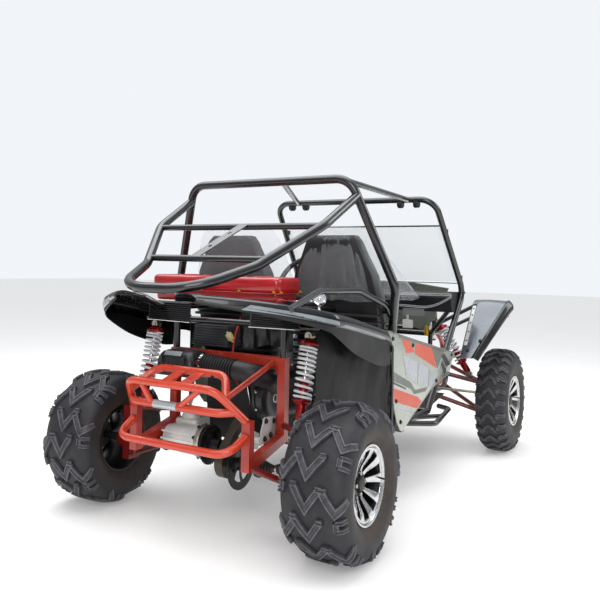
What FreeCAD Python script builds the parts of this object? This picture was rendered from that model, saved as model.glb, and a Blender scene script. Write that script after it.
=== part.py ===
import FreeCAD, Part
import Sketcher
import math
import os
import re
from FreeCAD import Placement, Rotation, Vector

# Two-seat dune buggy. Millimetres, +X forward, +Y to the left, +Z up.
# The origin is on the floor under the middle of the overall length.

doc = FreeCAD.newDocument("dune_buggy")
sheet = doc.addObject("Spreadsheet::Sheet", "sizes")

# Driving sizes. A place called _x is counted from the rear axle, a place called _fx from the
# front axle, _y from the middle plane and _z from the floor.
driving_sizes = {
    "overall": {
        "wheelbase": 1983, "rear_overhang": 404, "front_overhang": 378,
        "rear_track": 1132, "front_track": 1286,
    },
    "wheels": {
        "rear_tyre_radius": 277, "rear_tyre_width": 252, "front_tyre_radius": 288,
        "front_tyre_width": 173, "rim_radius": 140, "bead_radius": 127, "rim_wall": 5,
        "rear_rim_width": 196, "front_rim_width": 140, "crown_fall": 4.5, "shoulder_fall": 17,
        "disc_thickness": 20, "hub_radius": 44, "hub_length": 46, "window_edge": 9,
        "window_foot": 18, "window_mouth": 40, "window_count": 10, "disc_inset": 45,
        "axle_radius": 17, "running_gap": 0.05, "flange_thickness": 6,
    },
    "tread": {
        "lug_height": 12, "lug_depth": 50, "rear_wall_y": 126, "front_wall_y": 86,
        "rear_wall_low": 180, "rear_wall_high": 215, "front_wall_low": 184,
        "front_wall_high": 224, "rear_flat_y": 40, "front_flat_y": 26, "rear_shoulder_y": 117,
        "front_shoulder_y": 80, "rear_crown_y": 78, "front_crown_y": 54, "rear_lug_count": 16,
        "front_lug_count": 22, "rear_lug_point": 40, "rear_lug_tail": 30, "rear_lug_span": 50,
        "rear_lug_width": 42, "front_lug_point": 26, "front_lug_tail": 18, "front_lug_span": 34,
        "front_lug_width": 23, "rear_block_in": 60, "rear_block_out": 110,
        "rear_block_slant": 24, "rear_block_width": 26, "front_block_in": 44,
        "front_block_out": 76, "front_block_slant": 6, "front_block_width": 22,
    },
    "tubes": {
        "hoop_tube": 38, "front_hoop_tube": 32, "cross_tube": 27, "bumper_tube": 30,
        "rail_tube": 32, "post_width": 34, "brace_tube": 22, "plate_thickness": 5,
        "step_tube": 25, "tube_bend": 90, "seat_gap": 0.2,
    },
    "main hoop": {
        "hoop_top_x": 386, "hoop_top_y": 405, "hoop_top_z": 1402, "hoop_kink_x": 505,
        "hoop_kink_y": 565, "hoop_kink_z": 947, "hoop_waist_x": 632, "hoop_waist_y": 505,
        "hoop_waist_z": 785, "hoop_foot_x": 680, "hoop_foot_y": 460, "sill_z": 312,
    },
    "front hoop": {
        "screen_top_fx": -690, "screen_top_y": 470, "screen_top_z": 1392, "cowl_fx": -300,
        "cowl_y": 510, "cowl_z": 905, "front_foot_fx": -743, "roof_bar_y": 360,
        "roof_bar_front_y": 330, "diagonal_rear_y": 80,
    },
    "rear cage": {
        "cage_joint_z": 1330, "cage_bend_x": 150, "cage_bend_y": 410, "cage_bend_z": 1195,
        "cage_waist_x": -110, "cage_waist_y": 264, "cage_waist_z": 1028, "cage_tail_y": 158,
        "cage_tail_z": 942, "upper_cross_x": 140, "lower_cross_x": -72,
        "cage_plate_width": 46, "cage_hole_radius": 8,
    },
    "deck frame": {
        "deck_tube": 30, "shock_beam_z": 795, "shock_beam_y": 425, "deck_bar_x": 370,
        "loop_tube": 25, "loop_start_z": 800, "loop_front_x": 550, "loop_front_y": 505,
        "loop_front_z": 872, "loop_top_x": 360, "loop_top_y": 465, "loop_top_z": 935,
        "loop_back_x": 50, "loop_back_y": 440, "loop_back_z": 938, "loop_end_x": -170,
        "loop_end_z": 880,
    },
    "floor frame": {
        "rail_y": 250, "rail_z": 290, "rail_rise_x": 330, "nose_rail_fx": 250,
        "nose_top_z": 640, "front_post_fx": -70, "floor_thickness": 3, "foot_well_y": 360, "engine_bar_x": 480,
        "fender_stay_fx": -130, "far_stay_fx": 150, "panel_tab_length": 30,
    },
    "engine subframe": {
        "post_x": 100, "post_y": 264, "post_top_z": 655, "post_foot_z": 365,
        "corner_post_x": -152, "corner_post_top_z": 470, "corner_post_foot_z": 305,
        "gusset_size": 75,
    },
    "rear bumper": {
        "bumper_top_x": -279, "bumper_top_y": 200, "bumper_top_z": 587, "bumper_mid_x": -246,
        "bumper_mid_y": 196, "bumper_mid_z": 502, "bumper_low_x": -272, "bumper_low_y": 252,
        "bumper_low_z": 366, "inner_tube_x": -150, "inner_tube_y": 160, "inner_tube_z": 622,
        "tab_width": 44, "tab_hole_radius": 7, "tab_spacing": 86, "tab_offset_y": -12,
    },
    "front bumper": {
        "bull_bar_y": 190, "bull_bar_top_z": 540, "bull_bar_low_z": 300,
    },
    "side steps": {
        "step_rear_x": 884, "step_corner_x": 974, "step_y": 588, "step_front_x": 1372,
        "step_front_y": 530, "step_end_x": 1415,
    },
    "body panels": {
        "panel_wall": 5, "panel_rear_top_x": 525, "panel_rear_top_z": 767,
        "panel_rear_low_x": 700, "panel_rear_low_z": 318, "panel_front_top_fx": -516,
        "panel_front_top_z": 592, "panel_front_tip_fx": -609, "panel_front_tip_z": 489,
        "panel_step_fx": -887, "panel_step_z": 449, "fender_wall": 5, "fender_lip": 45,
        "fender_tail_x": -384, "fender_tail_z": 927, "fender_tail_y": 190,
        "fender_wide_x": -60, "fender_wide_y": 560, "fender_wide_z": 880,
        "fender_front_x": 585, "fender_front_z": 772, "fender_front_y": 570,
        "fender_inner_y": 250, "liner_inner_x": 270, "liner_outer_x": 585, "liner_inner_y": 330,
        "liner_top_z": 735, "liner_low_z": 350, "fender_edge_y": 515,
        "front_fender_outer_y": 735, "front_fender_low_y": 610, "front_fender_low_fx": -378,
        "front_fender_low_z": 560, "front_fender_rear_fx": -105, "front_fender_top_z": 862,
        "front_fender_end_fx": 262, "front_fender_end_z": 780,
    },
    "cabin": {
        "dash_depth": 150, "dash_height": 108, "dash_lean": 27, "dash_round": 12, "screen_wall": 4, "screen_low_z": 940,
        "screen_high_z": 1250, "nose_front_y": 215, "nose_wall": 4, "nose_crown": 28,
        "seat_y": 268, "seat_width": 380, "seat_wide": 450, "seat_top_width": 270,
        "seat_top_x": 560, "seat_top_z": 1190, "seat_shoulder_z": 900, "seat_base_x": 715,
        "seat_front_x": 1190, "seat_cushion_z": 520, "seat_thickness": 115,
        "seat_rail_width": 30, "seat_rail_y": 130, "seat_bolster": 55, "seat_hollow": 22,
    },
    "steering": {
        "king_pin_y": 548, "king_pin_radius": 20, "steer_arm": 110, "steer_arm_z": 345,
        "steer_arm_wall": 12, "rack_z": 330, "rack_radius": 9, "rack_housing_radius": 21,
        "rack_housing_length": 300, "tie_rod_radius": 8, "tie_end_radius": 12,
        "column_y": 268, "wheel_hub_fx": -700, "wheel_hub_z": 930, "column_bend_fx": -340,
        "column_bend_z": 745, "pinion_y": 110, "column_radius": 20,
        "steering_shaft_radius": 11, "steering_wheel_radius": 165, "steering_rim_radius": 14,
        "steering_hub_radius": 34, "column_top_reach": 90, "shaft_reach": 220,
        "joint_gap": 0.3, "running_clear": 5,
    },
    "suspension": {
        "arm_tube": 25, "ball_low_z": 200, "ball_high_z": 368, "front_arm_high_z": 430,
        "eye_radius": 22, "eye_height": 18, "shock_radius": 19, "spring_radius": 38,
        "shock_eye_radius": 16, "spring_wire": 10, "coil_count": 9, "spring_foot_share": 0.24, "spring_top_share": 0.9,
        "front_shock_top_z": 700, "front_shock_share": 0.72, "rear_shock_y": 378,
        "rear_shock_foot_x": 22, "rear_shock_foot_z": 445,
        "upright_y": 400, "upright_wall": 36, "upright_width": 70, "upright_low_z": 200,
        "upright_high_z": 425, "bearing_radius": 36, "bearing_length": 70,
        "rear_arm_x": 320,
    },
    "drive": {
        "engine_length": 330, "engine_width": 300, "engine_height": 300, "engine_x": 175,
        "cover_thickness": 50, "cover_step": 12, "cover_radius": 95, "cover_rear_x": 265, "cover_front_x": 430,
        "cover_z": 505, "drive_axis_z": 300, "housing_radius": 60, "housing_inner_y": 60,
        "housing_outer_y": 205, "hub_ring_radius": 70, "hub_ring_length": 50,
        "hub_neck_radius": 48, "ring_wall": 12, "housing_round": 14,
        "shaft_radius": 13, "boot_radius": 34, "boot_length": 34, "shaft_gap": 11, "socket_depth": 24, "disc_hub_radius": 25,
        "disc_radius": 76, "disc_y": -176, "disc_z": 262,
        "disc_wall": 5, "disc_band": 14, "disc_window_foot": 14, "disc_window_mouth": 40,
        "disc_window_count": 6, "guard_wall": 36, "guard_y": -56, "guard_radius": 62, "guard_edge": 12, "guard_press": 5,
        "air_box_length": 150, "air_box_width": 245, "air_box_height": 98,
        "air_box_y": 62, "air_box_edge": 14, "hose_radius": 42, "hose_length": 165,
        "hose_fold": 6, "hose_fold_count": 7, "hose_step_count": 11,
        "tank_x": 215, "tank_depth": 200, "tank_right_y": -250, "tank_left_y": 500,
        "tank_z": 862, "tank_height": 124, "tank_edge": 24, "tank_lip": 6, "tank_lip_wall": 3,
        "tank_seam_height": 46, "cap_x": 245, "cap_reach": 92, "cap_z": 890, "cap_rise": 34,
        "cap_wall": 14, "cap_radius": 24, "cap_neck_radius": 14,
    },
    "small fittings": {
        "pedal_fx": -215, "pedal_y": 215, "pedal_gap": 110, "pedal_width": 60,
        "pedal_height": 75, "pedal_top_z": 430, "lamp_radius": 52, "lamp_depth": 60, "lamp_rim": 8,
        "lamp_y": 140, "lamp_z": 615,
    },
}

row = 1
for group, cells in driving_sizes.items():
    sheet.set("A%d" % row, group)
    row += 1
    for alias, value in cells.items():
        sheet.set("A%d" % row, alias)
        sheet.set("B%d" % row, str(value))
        sheet.setAlias("B%d" % row, alias)
        row += 1
doc.recompute()


class Measure(float):
    # A number that keeps the formula it came from, so that a piece can be bound to the cells
    def __new__(cls, number, formula):
        made = super().__new__(cls, number)
        made.formula = formula
        return made

    def __add__(self, other):
        return Measure(float(self) + float(other), "(%s + %s)" % (words(self), words(other)))

    def __sub__(self, other):
        return Measure(float(self) - float(other), "(%s - %s)" % (words(self), words(other)))

    def __mul__(self, other):
        return Measure(float(self) * float(other), "(%s * %s)" % (words(self), words(other)))

    def __truediv__(self, other):
        return Measure(float(self) / float(other), "(%s / %s)" % (words(self), words(other)))

    def __neg__(self):
        return self * -1

    __radd__ = __add__
    __rmul__ = __mul__


def words(amount):
    return amount.formula if isinstance(amount, Measure) else "%.9g" % amount


def size(alias):
    return Measure(float(sheet.get(alias)), "sizes." + alias)


rear_axle = size("rear_overhang") - (
    size("wheelbase") + size("rear_overhang") + size("front_overhang")) / 2
front_axle = rear_axle + size("wheelbase")


def rear(name):
    return rear_axle + size(name)


def front(name):
    return front_axle + size(name)


# Sides of the car: +1 is the left side, -1 the right side.
left, right = 1, -1
sides = {"left": left, "right": right}
parts = {}


def cells(text):
    # A formula in words: an alias stands for its cell, rear_axle and front_axle for their places
    rear_text = "(sizes.rear_overhang - sizes.wheelbase - sizes.front_overhang) / 2"
    words = {"rear_axle": "(%s)" % rear_text,
             "front_axle": "(%s + sizes.wheelbase)" % rear_text, "sqrt": "sqrt"}
    return re.sub(r"[a-z_]+", lambda word: words.get(word.group(), "sizes." + word.group()), text)


def value(text):
    return float(sheet.evalExpression(cells(text)))


def bind(piece, formulas):
    for name, text in formulas.items():
        piece.setExpression(name, cells(text))
    return piece


def tied(piece, **amounts):
    for name, amount in amounts.items():
        setattr(piece, name, float(amount))
        if isinstance(amount, Measure):
            piece.setExpression(name, amount.formula)
    return piece


def placed(piece, corner):
    return bind(piece, {"Placement.Base." + axis: text for axis, text in zip("xyz", corner)
                        if text != "0"})


def box(name, corner, extent):
    piece = doc.addObject("Part::Box", name)
    bind(piece, dict(zip(("Length", "Width", "Height"), extent)))
    return placed(piece, corner)


def cylinder(name, radius, height, corner, facing=None):
    piece = doc.addObject("Part::Cylinder", name)
    piece.Placement.Rotation = Rotation(Vector(0, 0, 1), facing or Vector(0, 0, 1))
    bind(piece, {"Radius": radius, "Height": height})
    return placed(piece, corner)


def body(name):
    piece = doc.addObject("PartDesign::Body", name)
    piece.Label = name
    return piece


facings = {"side": Rotation(Vector(1, 0, 0), 90), "end": Rotation(Vector(1, 1, 1), 120),
           "plan": Rotation()}


def outline(owner, name, facing, points, arcs=None, place=("0", "0", "0")):
    # A closed sketch whose corners are held by formulas. arcs gives, for the span that leaves a
    # corner, the radius and the side of its centre.
    sketch = owner.newObject("Sketcher::SketchObject", name)
    sketch.Placement.Rotation = facings[facing]
    placed(sketch, place)
    spots = [Vector(value(a), value(b), 0) for a, b in points]
    ends, rules = [], []
    for i, spot in enumerate(spots):
        after = spots[(i + 1) % len(spots)]
        if arcs and i in arcs:
            radius, way = arcs[i]
            half = (after - spot) / 2
            across_way = Vector(-half.y, half.x, 0).normalize() * way
            reach = value(radius)
            centre = spot + half + across_way * math.sqrt(reach ** 2 - half.Length ** 2)
            sketch.addGeometry(Part.Arc(spot, centre - across_way * reach, after))
            ends.append((1, 2) if way > 0 else (2, 1))
            rules.append((Sketcher.Constraint("Radius", i, reach), radius))
        else:
            sketch.addGeometry(Part.LineSegment(spot, after))
            ends.append((1, 2))
    for i, spot in enumerate(spots):
        before = (i - 1) % len(spots)
        sketch.addConstraint(Sketcher.Constraint("Coincident", before, ends[before][1], i,
                                                 ends[i][0]))
        for kind, number, text in (("DistanceX", spot.x, points[i][0]),
                                   ("DistanceY", spot.y, points[i][1])):
            rules.append((Sketcher.Constraint(kind, -1, 1, i, ends[i][0], number), text))
    for rule, text in rules:
        index = sketch.addConstraint(rule)
        if re.search("[a-z]", text):
            sketch.setExpression("Constraints[%d]" % index, cells(text))
    return sketch


def pad(owner, sketch, length, backward=False):
    feature = owner.newObject("PartDesign::Pad", "Pad")
    feature.Profile = sketch
    feature.Reversed = backward
    return bind(feature, {"Length": length})


def pocket(owner, sketch, length, backward=False):
    feature = owner.newObject("PartDesign::Pocket", "Pocket")
    feature.Profile = sketch
    feature.Reversed = backward
    return bind(feature, {"Length": length})


def turned(owner, sketch, kind="Revolution", axis="H_Axis"):
    feature = owner.newObject("PartDesign::" + kind, kind)
    feature.Profile = sketch
    feature.ReferenceAxis = (sketch, [axis])
    return feature


def repeated(owner, features, sketch, axis, count):
    pattern = owner.newObject("PartDesign::PolarPattern", "PolarPattern")
    pattern.Originals = features
    pattern.Axis = (sketch, [axis])
    pattern.Angle = 360
    bind(pattern, {"Occurrences": count})
    owner.Tip = pattern
    return pattern


def rounded(owner, feature, edges, radius):
    doc.recompute()
    fillet = owner.newObject("PartDesign::Fillet", "Fillet")
    fillet.Base = (feature, edges)
    return bind(fillet, {"Radius": radius})


def flipped(source):
    copy = doc.addObject("Part::Mirroring", "mirrored")
    copy.Source = source
    copy.Normal = Vector(0, 1, 0)
    return copy


def both_sides(piece):
    return side_by_side([piece, flipped(piece)])


def joined(pieces):
    whole = doc.addObject("Part::MultiFuse", "joined")
    whole.Shapes = pieces
    whole.Refine = False
    return whole


def side_by_side(pieces):
    whole = doc.addObject("Part::Compound", "pieces")
    whole.Links = pieces
    return whole


def less(base, *tools):
    for tool in tools:
        cut = doc.addObject("Part::Cut", "cut")
        cut.Base, cut.Tool = base, tool
        cut.Refine = False
        base = cut
    return base


def keep(label, piece):
    piece.Label = label
    parts[label] = piece
    doc.recompute()
    return piece


def mirrored(points):
    return points + [Vector(p.x, -p.y, p.z) for p in reversed(points)]


def bent_path(points, bend):
    edges = []
    start = points[0]
    for before, corner, after in zip(points, points[1:], points[2:]):
        into = (before - corner).normalize()
        out = (after - corner).normalize()
        half = into.getAngle(out) / 2
        room = min((before - corner).Length, (after - corner).Length) * bend_room_share
        reach = min(bend / math.tan(half), room)
        radius = reach * math.tan(half)
        first = corner + into * reach
        last = corner + out * reach
        middle_way = (into + out).normalize()
        centre = corner + middle_way * (radius / math.sin(half))
        middle = centre - middle_way * radius
        edges.append(Part.LineSegment(start, first).toShape())
        edges.append(Part.Arc(first, middle, last).toShape())
        start = last
    edges.append(Part.LineSegment(start, points[-1]).toShape())
    return Part.Wire(edges)


def tube(points, diameter, bend):
    # A bent tube: a circle swept along straight runs with rounded corners
    points = [Vector(p) for p in points]
    if len(points) == 2:
        return rod(points[0], points[1], diameter / 2)
    path = doc.addObject("Part::Feature", "path")
    path.Shape = bent_path(points, bend)
    section = doc.addObject("Part::Circle", "section")
    section.Placement = Placement(points[0], Rotation(Vector(0, 0, 1), points[1] - points[0]))
    tied(section, Radius=diameter / 2)
    sweep = doc.addObject("Part::Sweep", "tube")
    sweep.Sections, sweep.Spine = [section], (path, [])
    sweep.Solid, sweep.Frenet = True, True
    return sweep


def rod(start, end, radius):
    bar = doc.addObject("Part::Cylinder", "rod")
    bar.Placement = Placement(start, Rotation(Vector(0, 0, 1), end - start))
    return tied(bar, Radius=radius, Height=(end - start).Length)


def block(length, width, height, corner):
    piece = doc.addObject("Part::Box", "block")
    piece.Placement.Base = corner
    return tied(piece, Length=length, Width=width, Height=height)


def cone(first, last, height, start, heading):
    piece = doc.addObject("Part::Cone", "cone")
    piece.Placement = Placement(start, Rotation(Vector(0, 0, 1), heading))
    return tied(piece, Radius1=first, Radius2=last, Height=height)


def ring(points):
    edge = doc.addObject("Part::Polygon", "ring")
    edge.Nodes, edge.Close = points, True
    return edge


def lofted(sections):
    loft = doc.addObject("Part::Loft", "loft")
    loft.Sections, loft.Solid, loft.Ruled = sections, True, True
    return loft


def plate(points, way, thickness):
    sheet_piece = doc.addObject("Part::Extrusion", "plate")
    sheet_piece.Base = ring(points)
    sheet_piece.DirMode, sheet_piece.Dir, sheet_piece.Solid = "Custom", way, True
    return tied(sheet_piece, LengthFwd=thickness)


def coped(piece, *neighbours):
    return less(piece, *[parts[neighbour] for neighbour in neighbours])



rack_x = front_axle - size("steer_arm")
column_path = [Vector(front("wheel_hub_fx"), size("column_y"), size("wheel_hub_z")),
               Vector(front("column_bend_fx"), size("column_y"), size("column_bend_z")),
               Vector(rack_x, size("pinion_y"), size("rack_z"))]

# Shares of the way along a span
plate_hole_shares = (0.30, 0.70)
bull_bar_shares = (0.35, 0.65)
brace_foot_share = 0.30
lattice_shares = ((0.70, 0.55), (-0.72, -0.10))
low_loop_share, mid_loop_share, inner_loop_share = 0.66, 0.30, 0.62
stay_dip_share, middle_share, bend_room_share, small_bend_share = 0.43, 0.5, 0.48, 0.7
step_brace_share = 0.3
seat_top_share, seat_back_share, chain_guard_share, bracket_share = 0.7, 0.8, 0.4, 0.8

# Roll cage
hoop_foot = Vector(rear("hoop_foot_x"), size("hoop_foot_y"), size("sill_z"))
hoop_waist = Vector(rear("hoop_waist_x"), size("hoop_waist_y"), size("hoop_waist_z"))
hoop_kink = Vector(rear("hoop_kink_x"), size("hoop_kink_y"), size("hoop_kink_z"))
hoop_top = Vector(rear("hoop_top_x"), size("hoop_top_y"), size("hoop_top_z"))
screen_top = Vector(front("screen_top_fx"), size("screen_top_y"), size("screen_top_z"))
cowl = Vector(front("cowl_fx"), size("cowl_y"), size("cowl_z"))
front_foot = Vector(front("front_foot_fx"), size("hoop_foot_y"), size("sill_z"))


def along(start, end, share):
    return start + (end - start) * share


def at_height(start, end, height):
    return along(start, end, (height - start.z) / (end.z - start.z))


def at_x(start, end, x):
    return along(start, end, (x - start.x) / (end.x - start.x))


def across(point):
    return Vector(point.x, -point.y, point.z)


def on(side, point):
    return Vector(point.x, point.y * side, point.z)


def make_main_hoop():
    points = mirrored([hoop_foot, hoop_waist, hoop_kink, hoop_top])
    keep("main_hoop", tube(points, size("hoop_tube"), size("tube_bend")))


def make_front_hoop():
    points = mirrored([front_foot, cowl, screen_top])
    keep("front_hoop", tube(points, size("front_hoop_tube"), size("tube_bend")))


def make_roof_bars():
    bars = []
    for rear_y, front_y in ((-size("roof_bar_y"), -size("roof_bar_front_y")),
                            (-size("diagonal_rear_y"), size("roof_bar_front_y"))):
        start = Vector(hoop_top.x, rear_y, hoop_top.z)
        end = Vector(screen_top.x, front_y, screen_top.z)
        bars.append(coped(rod(start, end, size("cross_tube") / 2), "main_hoop", "front_hoop"))
    keep("roof_bars", side_by_side(bars))


cage_bend = Vector(rear("cage_bend_x"), size("cage_bend_y"), size("cage_bend_z"))
cage_waist = Vector(rear("cage_waist_x"), size("cage_waist_y"), size("cage_waist_z"))
cage_tail_x = rear_axle - size("rear_overhang") + size("hoop_tube") / 2
cage_tail = Vector(cage_tail_x, size("cage_tail_y"), size("cage_tail_z"))


def make_rear_cage():
    joint = at_height(hoop_kink, hoop_top, size("cage_joint_z"))
    side = [joint, cage_bend, cage_waist, cage_tail]
    loop = tube(mirrored(side), size("hoop_tube"), size("tube_bend") * 2)
    upper = at_x(cage_bend, cage_waist, rear("upper_cross_x"))
    lower = at_x(cage_bend, cage_waist, rear("lower_cross_x"))
    radius = size("cross_tube") / 2
    pieces = [loop]
    for end in (upper, lower):
        pieces.append(rod(end, across(end), radius))
    high = Vector(upper.x, -size("cage_plate_width"), upper.z)
    low = Vector(lower.x, size("cage_plate_width"), lower.z)
    slope = Vector(upper.x - lower.x, 0, upper.z - lower.z).normalize()
    normal = Vector(-slope.z, 0, slope.x)
    half = Vector(0, size("cage_plate_width") / 2, 0)
    lift = normal * (radius - size("plate_thickness"))
    strip = plate([high - half + lift, high + half + lift, low + half + lift,
                   low - half + lift], normal, size("plate_thickness"))
    for share in plate_hole_shares:
        spot = along(high, low, share)
        strip = less(strip, rod(spot, spot + normal * size("cage_plate_width"),
                                size("cage_hole_radius")))
    pieces.append(strip)
    keep("rear_cage", coped(joined(pieces), "main_hoop"))


# Deck frame: a bar between the legs of the main hoop, two rails and the beam of the shocks
deck_z = size("tank_z") - size("seat_gap") - size("deck_tube") / 2
post_top = Vector(rear("post_x"), size("post_y"), size("post_top_z"))
post_foot = Vector(rear("post_x"), size("post_y"), size("post_foot_z"))


def make_deck_frame():
    radius = size("cross_tube") / 2
    leg = at_height(hoop_waist, hoop_kink, deck_z)
    foot = post_top + Vector(0, 0, size("post_width") / 2 + size("seat_gap"))
    bar = Vector(leg.x, foot.y, deck_z)
    corner = Vector(foot.x, foot.y, deck_z)
    tank_bar = Vector(rear("deck_bar_x"), foot.y, deck_z)
    beam_end = Vector(foot.x, size("shock_beam_y"), size("shock_beam_z"))
    pieces = [rod(leg, across(leg), radius)]
    for side in (left, right):
        pieces.append(tube([on(side, p) for p in (bar, corner, foot)], size("deck_tube"),
                           size("tube_bend") / 2))
    for end in (tank_bar, beam_end):
        pieces.append(rod(end, across(end), radius))
    # The hand rail over the right rear fender, from the leg of the hoop
    rail = [at_height(hoop_waist, hoop_kink, size("loop_start_z")),
            Vector(rear("loop_front_x"), size("loop_front_y"), size("loop_front_z")),
            Vector(rear("loop_top_x"), size("loop_top_y"), size("loop_top_z")),
            Vector(rear("loop_back_x"), size("loop_back_y"), size("loop_back_z")),
            Vector(rear("loop_end_x"), size("loop_back_y"), size("loop_end_z"))]
    rail = tube([on(right, p) for p in rail], size("loop_tube"), size("tube_bend"))
    keep("deck_frame", coped(side_by_side([joined(pieces), rail]), "main_hoop"))


# Engine subframe, of square tube
corner_top = Vector(rear("corner_post_x"), size("post_y"), size("corner_post_top_z"))
corner_foot = Vector(rear("corner_post_x"), size("post_y"), size("corner_post_foot_z"))
bumper_top = Vector(rear("bumper_top_x"), size("bumper_top_y"), size("bumper_top_z"))


def square_tube(start, end, width):
    heading = (end - start).normalize()
    side = Vector(0, 1, 0) if abs(heading.y) < abs(heading.x) + abs(heading.z) else Vector(1, 0, 0)
    other = heading.cross(side).normalize() * (width / 2)
    side = other.cross(heading).normalize() * (width / 2)
    return plate([start - side - other, start + side - other, start + side + other,
                  start - side + other], heading, (end - start).Length)


def make_engine_subframe():
    width = size("post_width")
    pieces = []
    drop = Vector(0, 0, width / 2)
    for side in (left, right):
        high, low = on(side, post_top), on(side, post_foot)
        rear_high, rear_low = on(side, corner_top), on(side, corner_foot)
        pieces.append(square_tube(low - drop, high + drop, width))
        pieces.append(square_tube(rear_low - drop, rear_high, width))
        pieces.append(square_tube(rear_low, low, width))
        gusset = plate([high, high - Vector(0, 0, size("gusset_size")),
                        high - Vector(0, side * size("gusset_size"), 0)],
                       Vector(1, 0, 0), size("plate_thickness"))
        pieces.append(gusset)
    pieces.append(square_tube(post_top, across(post_top), width))
    pieces.append(rod(on(right, post_top) + Vector(0, size("gusset_size") / 2, 0),
                      on(right, along(bumper_top, corner_top, brace_foot_share)),
                      size("brace_tube") / 2))
    keep("engine_subframe", coped(joined(pieces), "rear_bumper"))


def make_rear_bumper():
    radius = size("bumper_tube") / 2
    brace = size("brace_tube") / 2
    foot = corner_top + Vector(-size("post_width") / 2 - size("seat_gap"), 0, 0)
    top = bumper_top
    mid = Vector(rear("bumper_mid_x"), size("bumper_mid_y"), size("bumper_mid_z"))
    low = Vector(rear("bumper_low_x"), size("bumper_low_y"), size("bumper_low_z"))
    inner = Vector(rear("inner_tube_x"), size("inner_tube_y"), size("inner_tube_z"))
    low_foot = along(corner_foot, corner_top, low_loop_share)
    low_foot = low_foot + Vector(-size("post_width") / 2 - size("seat_gap"), 0, 0)
    mid_foot = along(foot, top, mid_loop_share)
    inner_foot = along(foot, top, inner_loop_share)
    bend = size("tube_bend") * small_bend_share
    pieces = [tube(mirrored([foot, top]), 2 * radius, bend),
              tube(mirrored([mid_foot, mid]), 2 * radius, bend),
              tube(mirrored([low_foot, low]), 2 * radius, bend),
              tube(mirrored([inner_foot, inner]), 2 * radius, bend)]
    for top_share, mid_share in lattice_shares:
        pieces.append(rod(Vector(top.x, top.y * top_share, top.z),
                          Vector(mid.x, mid.y * mid_share, mid.z), brace))
    run = Vector(inner.x - top.x, 0, inner.z - top.z)
    normal = Vector(-run.z, 0, run.x).normalize()
    wall = normal * size("plate_thickness")
    half = Vector(0, size("tab_width") / 2, 0)
    for step in (-1, 1):
        y = size("tab_offset_y") + step * size("tab_spacing") / 2
        near = Vector(top.x, y, top.z)
        far = Vector(inner.x, y, inner.z)
        tab = plate([near - half, near + half, far + half, far - half], normal,
                    size("plate_thickness"))
        spot = along(near, far, middle_share)
        pieces.append(less(tab, rod(spot - wall, spot + wall * 2, size("tab_hole_radius"))))
    keep("rear_bumper", joined(pieces))


# Floor frame, nose frame and floor
rail_rear = post_foot + Vector(size("post_width") / 2 + size("seat_gap"), 0, 0)
rail_rise = Vector(rear("rail_rise_x"), size("rail_y"), size("rail_z"))
nose_low = Vector(front("nose_rail_fx"), size("rail_y"), size("rail_z"))
nose_high = Vector(front("nose_rail_fx"), size("rail_y"), size("nose_top_z"))
brace_low = Vector(front("front_post_fx"), size("rail_y"), size("rail_z"))
brace_high = Vector(front("front_post_fx"), size("rail_y"), size("nose_top_z"))
panel_inner_y = size("hoop_waist_y") + size("hoop_tube") / 2 + size("seat_gap")


def make_floor_frame():
    rail = size("rail_tube")
    cross = size("cross_tube")
    pieces = []
    stay_foot = at_x(cowl, brace_high, front("fender_stay_fx"))
    stay_end = Vector(stay_foot.x, size("fender_edge_y") + size("cross_tube"),
                      front_fender_z(stay_foot.x))
    far_foot = Vector(front("far_stay_fx"), size("rail_y"), size("nose_top_z"))
    dip = size("brace_tube") * stay_dip_share
    far_end = Vector(far_foot.x, stay_end.y, front_fender_z(far_foot.x) - dip)
    tower_foot = Vector(front_axle, size("rail_y"), size("nose_top_z"))
    tower_top = Vector(front_axle, size("rail_y"),
                       size("front_shock_top_z") + size("shock_eye_radius"))
    tab = size("panel_tab_length")
    for side in (left, right):
        pieces.append(tube([on(side, p) for p in (rail_rear, rail_rise, nose_low, nose_high)],
                           rail, size("tube_bend")))
        pieces.append(rod(on(side, brace_low), on(side, brace_high), cross / 2))
        pieces.append(tube([on(side, p) for p in (cowl, brace_high, nose_high)], cross,
                           size("tube_bend")))
        pieces.append(rod(on(side, hoop_foot), on(side, front_foot), rail / 2))
        pieces.append(rod(on(side, stay_foot), on(side, stay_end), size("brace_tube") / 2))
        pieces.append(rod(on(side, far_foot), on(side, far_end), size("brace_tube") / 2))
        pieces.append(rod(on(side, tower_foot), on(side, tower_top), cross / 2))
        corner = Vector(rear("panel_rear_low_x"), 0, hoop_foot.z)
        y = hoop_foot.y if side == left else -panel_inner_y + size("seat_gap")
        pieces.append(block(tab, panel_inner_y - size("seat_gap") - hoop_foot.y, 2 * tab,
                                   corner + Vector(0, y, 0)))
    for end, radius in ((hoop_foot, rail / 2), (front_foot, rail / 2), (brace_low, cross / 2),
                        (nose_low - Vector(size("tube_bend"), 0, 0), cross / 2),
                        (brace_high, cross / 2), (nose_high, cross / 2),
                        (rail_rise, cross / 2),
                        (Vector(rear("engine_bar_x"), rail_rise.y, rail_rise.z), cross / 2)):
        pieces.append(rod(end, across(end), radius))
    keep("floor_frame", coped(joined(pieces), "main_hoop", "front_hoop", "engine_subframe",
                             "front_fenders"))


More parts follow.
